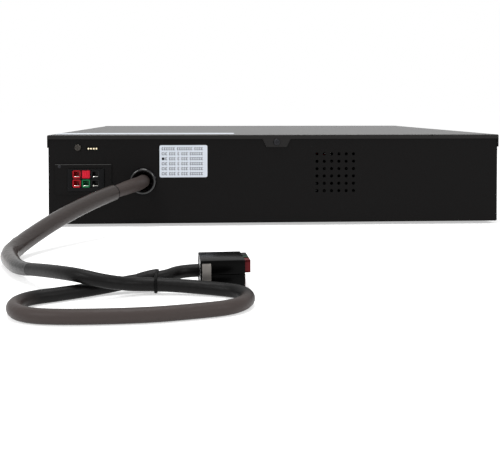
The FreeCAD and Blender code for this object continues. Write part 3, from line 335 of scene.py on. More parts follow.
# Galvanised sheet of the cartridges: pale grey, with spangles.
GALVANISED = Finish("galvanised_sheet", "9c9fa2", 0.42, metallic=1.0, surface=Surface.MOULDED,
                    grain_mm=6.0, relief=0.04)
# Battery cases are grey-black ABS, matt from the tool.
BATTERY_ABS = Finish("battery_abs", "2b2b2e", 0.6, surface=Surface.MOULDED, grain_mm=0.8, relief=0.1)
# Tinned brass tabs and brass bars.
TINNED_BRASS = Finish("tinned_brass", "c2c1bd", 0.3, metallic=1.0)
DRAWN_BRASS = Finish("drawn_brass", "b8934e", 0.34, metallic=1.0, surface=Surface.BRUSHED, grain_mm=0.7,
                     relief=0.05)
# Glass-epoxy board with green solder mask.
SOLDER_MASK = Finish("green_solder_mask", "1d5a34", 0.35)
# Undyed nylon is a warm, waxy white.
NYLON_STRIP = Finish("natural_nylon", "e2ddcf", 0.45)
# Open-celled foam: quite matt, with visible pores.
OPEN_FOAM = Finish("open_cell_foam", "4a4a4c", 0.95, surface=Surface.MOULDED, grain_mm=1.2, relief=0.6)
# Phenolic resin of the busbar block, dark brown, and the fuse's white steatite.
PHENOLIC = Finish("phenolic_block", "2a231e", 0.5)
STEATITE = Finish("fuse_steatite", "e0dbcf", 0.4)
# Wire insulation: PVC with a satin skin.
RED_PVC = Finish("red_pvc_wire", "a01818", 0.38)
BLACK_PVC = Finish("black_pvc_wire", "161617", 0.38)
GREEN_PVC = Finish("green_pvc_wire", "22723a", 0.38)
# Moulded rubber of the stick-on feet.
FOOT_RUBBER = Finish("moulded_foot_rubber", "202021", 0.75, specular=0.3)

CAD_FINISHES: dict[Finish, tuple[str, ...]] = {
    POWDER_STEEL: ("base_tray", "rear_panel", "socket_plate"),
    COVER_STEEL: ("top_cover",),
    MOULDED_ABS: ("front_bezel",),
    FOOT_RUBBER: ("rubber_feet",),
    OXIDE_STEEL: ("cover_side_screws",),
    NICKEL_STEEL: ("bar_screws", "cartridge_screws"),
    SOLDER_MASK: ("detect_board",),
    DRAWN_BRASS: ("board_spacer", "battery_bar", "output_bar", "negative_bar"),
    GALVANISED: ("cartridge_tray_left", "cartridge_tray_right", "cartridge_handles"),
    BATTERY_ABS: tuple("battery_%d" % number for number in range(1, 7)),
    TINNED_BRASS: ("battery_terminals",),
    NYLON_STRIP: ("glide_strips",),
    OPEN_FOAM: ("foam_pads",),
    PHENOLIC: ("busbar_block",),
    STEATITE: ("main_fuse",),
    RED_PVC: ("red_leads",),
    BLACK_PVC: ("black_leads", "series_jumpers"),
    GREEN_PVC: ("green_lead",),
    PVC_JACKET: ("cable_inner",),
    GLASS_NYLON: ("pin_header",),
    LABEL_STOCK: ("cover_label",),
}


# ---- meshes -------------------------------------------------------------------------------------
@dataclass
class Shape:
    """A mesh being put together from simple solids, in millimetres until it is finished."""

    name: str
    mesh: bmesh.types.BMesh = field(default_factory=bmesh.new)

    def _settle(self, verts: Iterable[bmesh.types.BMVert], bevel: float, segments: int,
                turn: Matrix | None) -> None:
        """Round the edges of a new solid and take it to its place.

        Args:
            verts: Its vertices.
            bevel: Radius of its edges, or zero for sharp ones.
            segments: Facets in each rounded edge.
            turn: Transform of the finished solid.
        """
        if bevel:
            edges = dict.fromkeys(edge for vert in verts for edge in vert.link_edges)
            verts = bmesh.ops.bevel(self.mesh, geom=list(edges), offset=bevel, segments=segments,
                                    profile=0.5, affect="EDGES", clamp_overlap=True)["verts"]
        if turn is not None:
            bmesh.ops.transform(self.mesh, matrix=turn, verts=list(verts))

    def box(self, low: Point, high: Point, bevel: float = 0.0, turn: Matrix | None = None) -> None:
        """Add a box, with rounded edges if asked.

        Args:
            low: Lowest corner.
            high: Highest corner.
            bevel: Radius of the edges.
            turn: Transform that is applied to the finished box.
        """
        verts = bmesh.ops.create_cube(self.mesh, size=1.0)["verts"]
        size = Vector(high) - Vector(low)
        middle = (Vector(high) + Vector(low)) / 2
        for vert in verts:
            vert.co = Vector((vert.co.x * size.x, vert.co.y * size.y, vert.co.z * size.z)) + middle
        self._settle(verts, bevel, BOX_ROUND, turn)

    def lathe(self, profile: Profile, turn: Matrix, sides: int = 48) -> None:
        """Turn a profile about the Y axis.

        Args:
            profile: Pairs of radius and y; a radius of zero closes an end.
            turn: Transform of the turned body.
            sides: Facets round the axis.
        """
        rings = []
        for radius, y in profile:
            if radius <= 0:
                rings.append([self.mesh.verts.new(turn @ Vector((0, y, 0)))])
                continue
            ring = []
            for index in range(sides):
                angle = 2 * math.pi * index / sides
                ring.append(self.mesh.verts.new(
                    turn @ Vector((radius * math.cos(angle), y, radius * math.sin(angle)))))
            rings.append(ring)
        for first, second in zip(rings, rings[1:]):
            self._bridge(first, second)

    def _bridge(self, first: list, second: list) -> None:
        """Join two rings, or a ring and a point, with faces.

        Args:
            first: Vertices of one ring, or a single one.
            second: Vertices of the next.
        """
        count = max(len(first), len(second))
        for index in range(count):
            after = (index + 1) % count
            corners = [first[index % len(first)], first[after % len(first)],
                       second[after % len(second)], second[index % len(second)]]
            unique = list(dict.fromkeys(corners))
            if len(unique) > 2:
                self.mesh.faces.new(unique)

    def sweep(self, path: Sequence[Vector], section: Callable[[int, float], Sequence[tuple[float, float]]],
              closed: bool = False, up: Vector = Vector((0, 0, 1))) -> None:
        """Carry a section along a path without twist.

        Args:
            path: Points in millimetres.
            section: Gives the section's points from a path index and the length so far.
            closed: Whether the path returns to its start.
            up: Rough upward direction of the section at the start.
        """
        frames = transported_frames(path, closed, up)
        rings = []
        travelled = 0.0
        for index, (point, side, lift) in enumerate(frames):
            if index:
                travelled += (point - frames[index - 1][0]).length
            rings.append([self.mesh.verts.new(point + side * u + lift * v)
                          for u, v in section(index, travelled)])
        pairs = list(zip(rings, rings[1:]))
        if closed:
            pairs.append((rings[-1], rings[0]))
        for first, second in pairs:
            self._bridge(first, second)
        if not closed:
            self.mesh.faces.new(list(reversed(rings[0])))
            self.mesh.faces.new(rings[-1])

    def prism(self, outline: Profile, low: float, high: float, turn: Matrix | None = None,
              bevel: float = 0.0) -> None:
        """Raise an outline in X and Z into a plate between two values of Y.

        Args:
            outline: Pairs of x and z, in order.
            low: Nearest y.
            high: Farthest y.
            turn: Transform of the finished plate.
            bevel: Radius of the edges.
        """
        near = [self.mesh.verts.new(Vector((x, low, z))) for x, z in outline]
        far = [self.mesh.verts.new(Vector((x, high, z))) for x, z in outline]
        self.mesh.faces.new(near)
        self.mesh.faces.new(list(reversed(far)))
        self._bridge(near, far)
        self._settle(near + far, bevel, PRISM_ROUND, turn)

    def piece(self, finish: Finish, replaces: Iterable[str] = (),
              smooth: float = 35.0) -> bpy.types.Object:
        """Finish the mesh as a piece that rides on the case.

        Args:
            finish: Its material.
            replaces: CAD nodes that it stands for.
            smooth: Edges under this angle, in degrees, are shaded smooth.

        Returns:
            The object.
        """
        bmesh.ops.recalc_face_normals(self.mesh, faces=self.mesh.faces[:])
        bmesh.ops.scale(self.mesh, vec=(mm(1.0), mm(1.0), mm(1.0)), verts=self.mesh.verts[:])
        limit = math.radians(smooth)
        for face in self.mesh.faces:
            face.smooth = True
        for edge in self.mesh.edges:
            edge.smooth = len(edge.link_faces) == 2 and edge.calc_face_angle(0.0) < limit
        data = bpy.data.meshes.new(self.name)
        self.mesh.to_mesh(data)
        self.mesh.free()
        data.materials.append(finish.material())
        made = put(self.name, data)
        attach(made, BODY)
        names = tuple(replaces)
        if names:
            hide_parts(*names)
        log.info("%s: %d faces", self.name, len(data.polygons))
        return made


def transported_frames(path: Sequence[Vector], closed: bool,
                       up: Vector) -> list[tuple[Vector, Vector, Vector]]:
    """Frames along a path that turn with it but don't twist.

    Args:
        path: Points in order.
        closed: Whether the last point leads back to the first.
        up: Rough upward direction at the start.

    Returns:
        A point, a sideways and an upward direction for each point of the path.
    """
    frames = []
    count = len(path)
    lift = up.copy()
    for index, point in enumerate(path):
        ahead = path[(index + 1) % count] if closed else path[min(index + 1, count - 1)]
        behind = path[index - 1] if closed or index else path[0]
        heading = (ahead - behind).normalized()
        lift = (lift - heading * lift.dot(heading)).normalized()
        frames.append((point, heading.cross(lift), lift))
    return frames


def circle(radius: float, sides: int) -> list[tuple[float, float]]:
    """Points of a circle."""
    return [(radius * math.cos(2 * math.pi * index / sides), radius * math.sin(2 * math.pi * index / sides))
            for index in range(sides)]


def rounded_outline(width: float, height: float, radius: float,
                    steps: int = 5) -> list[tuple[float, float]]:
    """Outline of a rectangle with round corners, about the origin.

    Args:
        width: Full width.
        height: Full height.
        radius: Corner radius.
        steps: Segments in each corner.

    Returns:
        Pairs of x and z, anticlockwise.
    """
    points = []
    for quarter, (sx, sz) in enumerate(((1, 1), (-1, 1), (-1, -1), (1, -1))):
        for step in range(steps + 1):
            angle = math.pi / 2 * (quarter + step / steps)
            points.append((sx * (width / 2 - radius) + radius * math.cos(angle),
                           sz * (height / 2 - radius) + radius * math.sin(angle)))
    return points


def at(x: float, y: float, z: float, yaw: float = 0.0) -> Matrix:
    """Transform to a place in millimetres, turned about Z by an angle in degrees."""
    return Matrix.Translation((x, y, z)) @ Matrix.Rotation(math.radians(yaw), 4, "Z")


def box_mm(node: str) -> tuple[Vector, Vector]:
    """Lowest and highest corner of a CAD node, in millimetres."""
    low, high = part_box(node)
    return Vector(low) * METRE, Vector(high) * METRE


def middle_of(node: str) -> tuple[float, float]:
    """Middle of a CAD node in x and z, in millimetres."""
    low, high = box_mm(node)
    return (low.x + high.x) / 2, (low.z + high.z) / 2


# ---- screws -------------------------------------------------------------------------------------
@dataclass
class CrossScrew:
    """Pan-head screw with a cross recess, facing -Y.

    A share is of the head's radius or height, and those of the arms are of the flat's radius.
    """

    name: str
    node: str
    finish: Finish
    slot: str
    head_radius: float = 3.3
    head_height: float = 1.9
    rim_share: float = 0.35      # height of the head's straight rim
    crown_share: float = 0.72    # radius where the rounding ends
    flat_share: float = 0.62     # radius of the flat that holds the recess
    root_share: float = 0.4      # radius at which the head's underside begins
    depth_share: float = 0.55    # depth of the recess
    arm_share: float = 0.86      # length of an arm of the cross
    half_arm_share: float = 0.24  # half its width
    shank: float = 1.5           # half the shank's width
    shank_sunk: float = 0.1      # how far it reaches into the head
    dome_steps: int = 8
    petal_steps: int = 6
    floor_sides: int = 24

    def build(self) -> None:
        """Turn the head about its own axis and cut the recess as a sunk cross."""
        low, high = box_mm(self.node)
        x, z = middle_of(self.node)
        seat = low.y + self.head_height
        radius, height = self.head_radius, self.head_height
        dome = []
        for step in range(self.dome_steps + 1):
            angle = math.pi / 2 * step / self.dome_steps
            out = self.crown_share + (1 - self.crown_share) * math.cos(angle)
            up = self.rim_share + (1 - self.rim_share) * math.sin(angle)
            dome.append((radius * out, -height * up))
        flat = radius * self.flat_share
        shape = Shape(self.name)
        profile = [(radius * self.root_share, 0.0), (radius, 0.0)] + dome
        shape.lathe(profile + [(flat, -height)], at(x, seat, z))
        self._face(shape, Vector((x, seat - height, z)), flat)
        shape.box((x - self.shank, seat - self.shank_sunk, z - self.shank),
                  (x + self.shank, high.y, z + self.shank))
        shape.piece(self.finish, (self.node,))

    def _face(self, shape: Shape, centre: Vector, radius: float) -> None:
        """Top of the head: four petals round a cross that goes down to a floor.

        Args:
            shape: Shape that gets it.
            centre: Middle of the flat.
            radius: Radius of the flat.
        """
        arm, half = radius * self.arm_share, radius * self.half_arm_share
        floor = centre.y + self.head_height * self.depth_share
        begin = math.atan2(half, arm)
        for quarter in range(4):
            turn = at(centre.x, 0, centre.z) @ Matrix.Rotation(math.pi / 2 * quarter, 4, "Y")
            petal = [(half, half), (arm, half)]
            for step in range(self.petal_steps + 1):
                angle = begin + (math.pi / 2 - 2 * begin) * step / self.petal_steps
                petal.append((radius * math.cos(angle), radius * math.sin(angle)))
            petal.append((half, arm))
            shape.prism(petal, centre.y, floor, turn)
        shape.lathe([(radius, floor), (0.0, floor)], at(centre.x, 0, centre.z), self.floor_sides)


@dataclass
class PlateRivets:
    """Domed rivets in the socket's plate, and a grey strip along its upper edge that is a painted highlight.
    """

    node: str = "plate_rivets"
    radius: float = 1.7
    height: float = 0.7
    dome_angles: tuple[float, ...] = (0.0, 0.35, 0.7, 1.05, 1.4)
    sides: int = 24
    edge: float = 0.5            # height of the painted highlight strip
    edge_inset: float = 0.3      # from its ends to the plate's sides
    edge_step: float = 0.04      # out of the coat, and under the plate's top
    edge_depth: float = 0.2

    def build(self) -> None:
        """Dome each rivet at a corner of the node's box and lay the painted highlight strip."""
        low, high = box_mm(self.node)
        plate_low, plate_high = box_mm("socket_plate")
        radius = self.radius
        shape = Shape("rivet_heads")
        for x, z in ((low.x + radius, high.z - radius), (high.x - radius, low.z + radius)):
            dome = [(radius * math.cos(angle), -self.height * math.sin(angle))
                    for angle in self.dome_angles]
            shape.lathe(dome + [(0.0, -self.height)], at(x, plate_low.y, z), self.sides)
        shape.piece(OXIDE_STEEL, (self.node,))
        # Painted highlight: a grey strip on the plate's face, just under its top edge.
        strip = Shape("plate_painted_highlight")
        face, top = plate_low.y, plate_high.z
        strip.box((plate_low.x + self.edge_inset, face - self.edge_step, top - self.edge),
                  (plate_high.x - self.edge_inset, face + self.edge_depth, top - self.edge_step))
        strip.piece(PLATE_EDGE_HIGHLIGHT)


# ---- socket and plug poles ----------------------------------------------------------------------
class Pole(Enum):
    """What one cell of the connector is."""

    RED = "red_plastic"
    RED_BLANK = "red_blank"
    GREEN = "green_plastic"
    BLACK = "black_plastic"

    @property
    def finish(self) -> Finish:
        """The cell's finish."""
        return {Pole.RED: RED_POLYCARBONATE, Pole.RED_BLANK: RED_BLANK, Pole.GREEN: GREEN_POLYCARBONATE,
                Pole.BLACK: BLACK_POLYCARBONATE}[self]

    @property
    def slot(self) -> str:
        """The record's slot of the cell."""
        return "red_plastic" if self is Pole.RED_BLANK else self.value


@dataclass
class PoleMoulding:
    """Housing of one contact, face at y = 0 and mouth towards -Y."""

    size: float = 7.9
    length: float = 24.6
    wall: float = 1.1
    mouth: float = 9.0           # depth of the mouth
    overlap: float = 1.0         # how far the mouth's walls run into the body
    tongue: float = 1.6
    bevel: float = 0.3
    rib_pitch: float = 2.1       # three ribs on the face of a blank
    rib_width: float = 1.1
    rib_proud: float = 0.45
    rib_root: float = 0.4
    rib_margin: float = 1.3
    rib_bevel: float = 0.2
    contact_width: float = 4.6
    contact_height: float = 0.9
    contact_bevel: float = 0.08
    nose_start: float = 1.2      # from the face to the tip of the contact's rolled nose
    nose_length: float = 1.7
    nose_angles: tuple[float, ...] = (0.0, 0.4, 0.8, 1.2, math.pi / 2)

    def add(self, shape: Shape, kind: Pole, turn: Matrix) -> None:
        """Add the housing to a shape.

        Args:
            shape: Shape that gets it.
            kind: Live or blank cell.
            turn: Transform from the housing's own place.
        """
        half = self.size / 2
        if kind is Pole.RED_BLANK:
            shape.box((-half, 0, -half), (half, self.length, half), self.bevel, turn)
            wide, tall = self.rib_width / 2, half - self.rib_margin
            for x in (-self.rib_pitch, 0.0, self.rib_pitch):
                shape.box((x - wide, -self.rib_proud, -tall), (x + wide, self.rib_root, tall),
                          self.rib_bevel, turn)
            return
        deep = self.mouth + self.overlap
        for low, high in (((-half, self.mouth, -half), (half, self.length, half)),
                          ((-half, 0, half - self.wall), (half, deep, half)),
                          ((-half, 0, -half), (-half + self.wall, deep, half)),
                          ((half - self.wall, 0, -half), (half, deep, half)),
                          ((-half, 0, -half), (half, deep, -half + self.tongue))):
            shape.box(low, high, self.bevel, turn)

    def add_contact(self, shape: Shape, turn: Matrix) -> None:
        """Add the plated contact that lies on the tongue, with its rolled nose.

        Args:
            shape: Shape that gets it.
            turn: Transform from the housing's own place.
        """
        base = -self.size / 2 + self.tongue
        top = base + self.contact_height
        nose = [(self.nose_start + self.nose_length * (1 - math.cos(angle)),
                 base + self.contact_height * math.sin(angle)) for angle in self.nose_angles]
        swing = turn @ Matrix.Rotation(math.pi / 2, 4, "Z") @ Matrix.Scale(-1, 4, (0, 1, 0))
        shape.prism(nose + [(self.mouth, top), (self.mouth, base)], -self.contact_width / 2,
                    self.contact_width / 2, swing, self.contact_bevel)


@dataclass
class BatterySocket:
    """Six keyed poles in a moulded frame on the rear panel."""

    pitch: float = 8.8
    frame_width: float = 34.8
    frame_height: float = 21.7
    frame_drop: float = 1.05     # from the poles' middle to the frame's
    frame_depth: float = 20.0
    frame_bevel: float = 0.35
    side_inset: float = 0.08     # keeps the side walls' faces out of those above and below
    gap: float = 0.03            # round the poles
    web_setback: float = 0.3
    web_overlap: float = 1.0     # how far the webs run into the walls
    web_round: float = 0.6       # rounding of a web, as a share of half its thickness
    flange: float = 2.0
    panel_sheet: float = 1.2
    moulding: PoleMoulding = field(default_factory=PoleMoulding)
    cells: dict[str, Pole] = field(default_factory=lambda: {
        "red_pole_upper": Pole.RED, "red_blank_pole": Pole.RED_BLANK, "black_pole_upper": Pole.BLACK,
        "red_pole_lower": Pole.RED, "green_pole": Pole.GREEN, "black_pole_lower": Pole.BLACK})

    def build(self) -> None:
        """Build the poles, their contacts and the frame."""
        contacts = Shape("socket_contacts")
        for node, kind in self.cells.items():
            x, z = middle_of(node)
            turn = at(x, box_mm(node)[0].y, z)
            shape = Shape(node + "_moulding")
            self.moulding.add(shape, kind, turn)
            shape.piece(kind.finish, (node,))
            if kind is not Pole.RED_BLANK:
                self.moulding.add_contact(contacts, turn)
        contacts.piece(SILVER_PLATE, ("pole_contacts",))
        self._frame()

    def _frame(self) -> None:
        """Frame walls and webs round the poles, bevelled so that their edges catch light."""
        near = box_mm("socket_frame")[0].y
        far = near + self.frame_depth
        left, right = box_mm("red_pole_upper")[0].x, box_mm("black_pole_upper")[1].x
        top, bottom = box_mm("red_pole_upper")[1].z, box_mm("red_pole_lower")[0].z
        middle_x, middle_z = (left + right) / 2, (top + bottom) / 2
        x0, x1 = middle_x - self.frame_width / 2, middle_x + self.frame_width / 2
        z0 = middle_z - self.frame_drop - self.frame_height / 2
        z1 = middle_z - self.frame_drop + self.frame_height / 2
        gap, inset = self.gap, self.side_inset
        shape = Shape("socket_frame_moulding")
        shape.box((x0, near, top + gap), (x1, far, z1), self.frame_bevel)
        shape.box((x0, near, z0), (x1, far, bottom - gap), self.frame_bevel)
        for start, end in ((x0 + inset, left - gap), (right + gap, x1 - inset)):
            shape.box((start, near + inset, z0 + inset), (end, far - inset, z1 - inset), self.frame_bevel)
        web = (self.pitch - self.moulding.size) / 2 - gap
        front, into, rounding = near + self.web_setback, self.web_overlap, web * self.web_round
        for side in (-0.5, 0.5):
            x = middle_x + side * self.pitch
            shape.box((x - web, front, bottom - into), (x + web, far, top + into), rounding)
        shape.box((left - into, front, middle_z - web), (right + into, far, middle_z + web), rounding)
        back = box_mm("rear_panel")[0].y + self.panel_sheet
        low, high = box_mm("socket_plate")
        for start, end in ((low.x, x0), (x1, high.x)):
            shape.box((start, back, low.z), (end, back + self.flange, high.z))
        shape.piece(GLASS_NYLON, ("socket_frame",))


# ---- small things on the rear panel --------------------------------------------------------------
@dataclass
class DetectHeader:
    """Four gold-flashed pins that tell the UPS that the pack is there."""

    count: int = 4
    pitch: float = 2.54
    radius: float = 0.95
    dome: float = 0.6
    dome_angles: tuple[float, ...] = (0.0, 0.4, 0.8, 1.2)
    sides: int = 20

    def build(self) -> None:
        """Dome each pin's end."""
        low, high = box_mm("header_pins")
        middle_x, z = middle_of("header_pins")
        shape = Shape("header_pin_domes")
        for index in range(self.count):
            x = middle_x + (index - (self.count - 1) / 2) * self.pitch
            dome = [(self.radius * math.cos(angle), low.y + self.dome - self.dome * math.sin(angle))
                    for angle in self.dome_angles]
            shape.lathe([(self.radius, high.y)] + dome + [(0.0, low.y)], at(x, 0, z), self.sides)
        shape.piece(GOLD_FLASH, ("header_pins",))


@dataclass
class SpecLabel:
    """Paper label with plain ruled boxes and bars."""

    corner: float = 1.6
    rows: int = 5
    margin: float = 2.2
    check_size: float = 2.5
    check_gap: float = 0.9
    stroke: float = 0.55
    check_stroke: float = 0.8    # share of the stroke
    ink: float = 0.03
    filled_row: int = 1
    half_height: float = 1.3     # half of a line's height
    dash: float = 0.7            # share of a cell that a dash takes, and a space of the next
    heading: tuple[int, ...] = (6, 7, 4)
    words: tuple[int, ...] = (1, 3, 1, 3, 6)

    def build(self) -> None:
        """Make the paper and its print."""
        low, high = box_mm("spec_label")
        x, z = middle_of("spec_label")
        outline = rounded_outline(high.x - low.x, high.z - low.z, self.corner)
        paper = Shape("spec_label_paper")
        paper.prism(outline, low.y, high.y, at(x, 0, z))
        paper.piece(LABEL_STOCK, ("spec_label",))
        self._print(low, high)

    def _bar(self, shape: Shape, x0: float, x1: float, z0: float, z1: float, face: float) -> None:
        """One printed bar, as a film on the paper."""
        shape.box((x0, face - self.ink, z0), (x1, face, z1))

    def _print(self, low: Vector, high: Vector) -> None:
        """Header bar, and a checkbox with a broken bar in each row.

        Args:
            low: Lowest corner of the label.
            high: Its highest corner.
        """
        shape = Shape("spec_label_print")
        pitch = (high.z - low.z - self.margin) / (self.rows + 1)
        left = low.x + self.margin
        for row in range(self.rows + 1):
            middle = high.z - self.margin / 2 - (row + 0.5) * pitch
            start = left
            if row:
                self._check_box(shape, left, middle, row - 1 == self.filled_row, low.y)
                start = left + self.check_size + self.check_gap
            pattern = self.words if row else self.heading
            self._words(shape, start, high.x - self.margin, middle, pattern, low.y)
        shape.piece(LABEL_INK)

    def _check_box(self, shape: Shape, x: float, z: float, filled: bool, face: float) -> None:
        """Square outline, or a solid square.

        Args:
            shape: Shape that gets it.
            x: Its left side.
            z: Its middle height.
            filled: Whether it is solid.
            face: Y of the paper's face.
        """
        end, low, high = x + self.check_size, z - self.check_size / 2, z + self.check_size / 2
        line = self.stroke * self.check_stroke
        bars = ((x, end, high - line, high), (x, end, low, low + line), (x, x + line, low, high),
                (end - line, end, low, high))
        for bar in ((x, end, low, high),) if filled else bars:
            self._bar(shape, *bar, face)

    def _words(self, shape: Shape, start: float, end: float, z: float, pattern: Sequence[int],
               face: float) -> None:
        """A row of short dashes in groups, which stands for print without being any.

        Args:
            shape: Shape that gets them.
            start: Left end of the row.
            end: Right end of the row.
            z: Its middle height.
            pattern: Number of dashes in each group.
            face: Y of the paper's face.
        """
        cell = (end - start) / (sum(pattern) + len(pattern) * self.dash)
        low, high, line = z - self.half_height, z + self.half_height, self.stroke
        x = start
        for length in pattern:
            for _ in range(length):
                self._bar(shape, x, x + cell * self.dash, high - line, high, face)
                self._bar(shape, x, x + cell * self.dash, low, low + line, face)
                self._bar(shape, x, x + line, low + line, high - line, face)
                x += cell
            x += cell * self.dash


@dataclass
class CableBushing:
    """Polished ring that the lead comes out of."""

    outer: float = 12.9
    mouth: float = 8.8
    throat: float = 5.55
    barrel: float = 11.0
    proud: float = 4.0
    depth: float = 9.0
    flange_share: float = 0.3    # share of the proud height under the roll
    lead_in: float = 0.8         # the funnel starts this much inside the mouth
    lead_in_depth: float = 1.0
    throat_round: float = 0.6    # the funnel is this much wider just before the throat
    throat_round_depth: float = 3.6
    throat_depth: float = 5.0
    roll_steps: int = 20
    sides: int = 96

    def build(self) -> None:
        """Turn the ring: a round flange that rolls into the throat."""
        panel = box_mm("rear_panel")[0].y
        x, z = middle_of("cable_bushing")
        half = (self.outer - self.mouth) / 2
        base, rise = self.proud * self.flange_share, self.proud * (1 - self.flange_share)
        roll = []
        for step in range(self.roll_steps + 1):
            angle = math.pi * step / self.roll_steps
            roll.append((self.mouth + half + half * math.cos(angle), -base - rise * math.sin(angle)))
        profile = [(self.barrel, self.depth), (self.barrel, 0.0), (self.outer, 0.0)] + roll
        profile += [(self.mouth - self.lead_in, self.lead_in_depth),
                    (self.throat + self.throat_round, self.throat_round_depth),
                    (self.throat, self.throat_depth), (self.throat, self.depth), (self.barrel, self.depth)]
        shape = Shape("cable_bushing_ring")
        shape.lathe(profile, at(x, panel, z), self.sides)
        shape.piece(POLISHED_NYLON, ("cable_bushing",), smooth=50.0)


# ---- output lead ---------------------------------------------------------------------------------
LEAD_ROUTE = (
    (-0.1284, -0.2, 0.0436), (-0.1284, -0.218, 0.0436), (-0.1390, -0.242, 0.0418),
    (-0.1600, -0.272, 0.0358), (-0.1840, -0.304, 0.0256), (-0.2040, -0.337, 0.0132),
    (-0.2120, -0.368, 0.0065), (-0.2020, -0.396, 0.0065), (-0.1900, -0.4215, 0.0072),
    (-0.1715, -0.4445, 0.0110), (-0.1560, -0.4635, 0.0136), (-0.1420, -0.476, 0.0144),
    (-0.1265, -0.4775, 0.0108), (-0.1110, -0.469, 0.0068), (-0.0945, -0.4665, 0.0062),
    (-0.0580, -0.473, 0.0044), (-0.0450, -0.4815, 0.0044), (-0.0415, -0.497, 0.0044),
    (-0.0500, -0.5135, 0.0044), (-0.0690, -0.5205, 0.0044), (-0.1000, -0.5285, 0.0044),
    (-0.1480, -0.529, 0.0044), (-0.1660, -0.5215, 0.0044), (-0.1735, -0.5045, 0.0044),
    (-0.1690, -0.489, 0.0044), (-0.1520, -0.4805, 0.0044), (-0.1280, -0.4645, 0.0044),
    (-0.1110, -0.4592, 0.0068), (-0.0926, -0.4566, 0.0082), (-0.0839, -0.445287, 0.0094),
    (-0.0714, -0.44353, 0.0094),
)


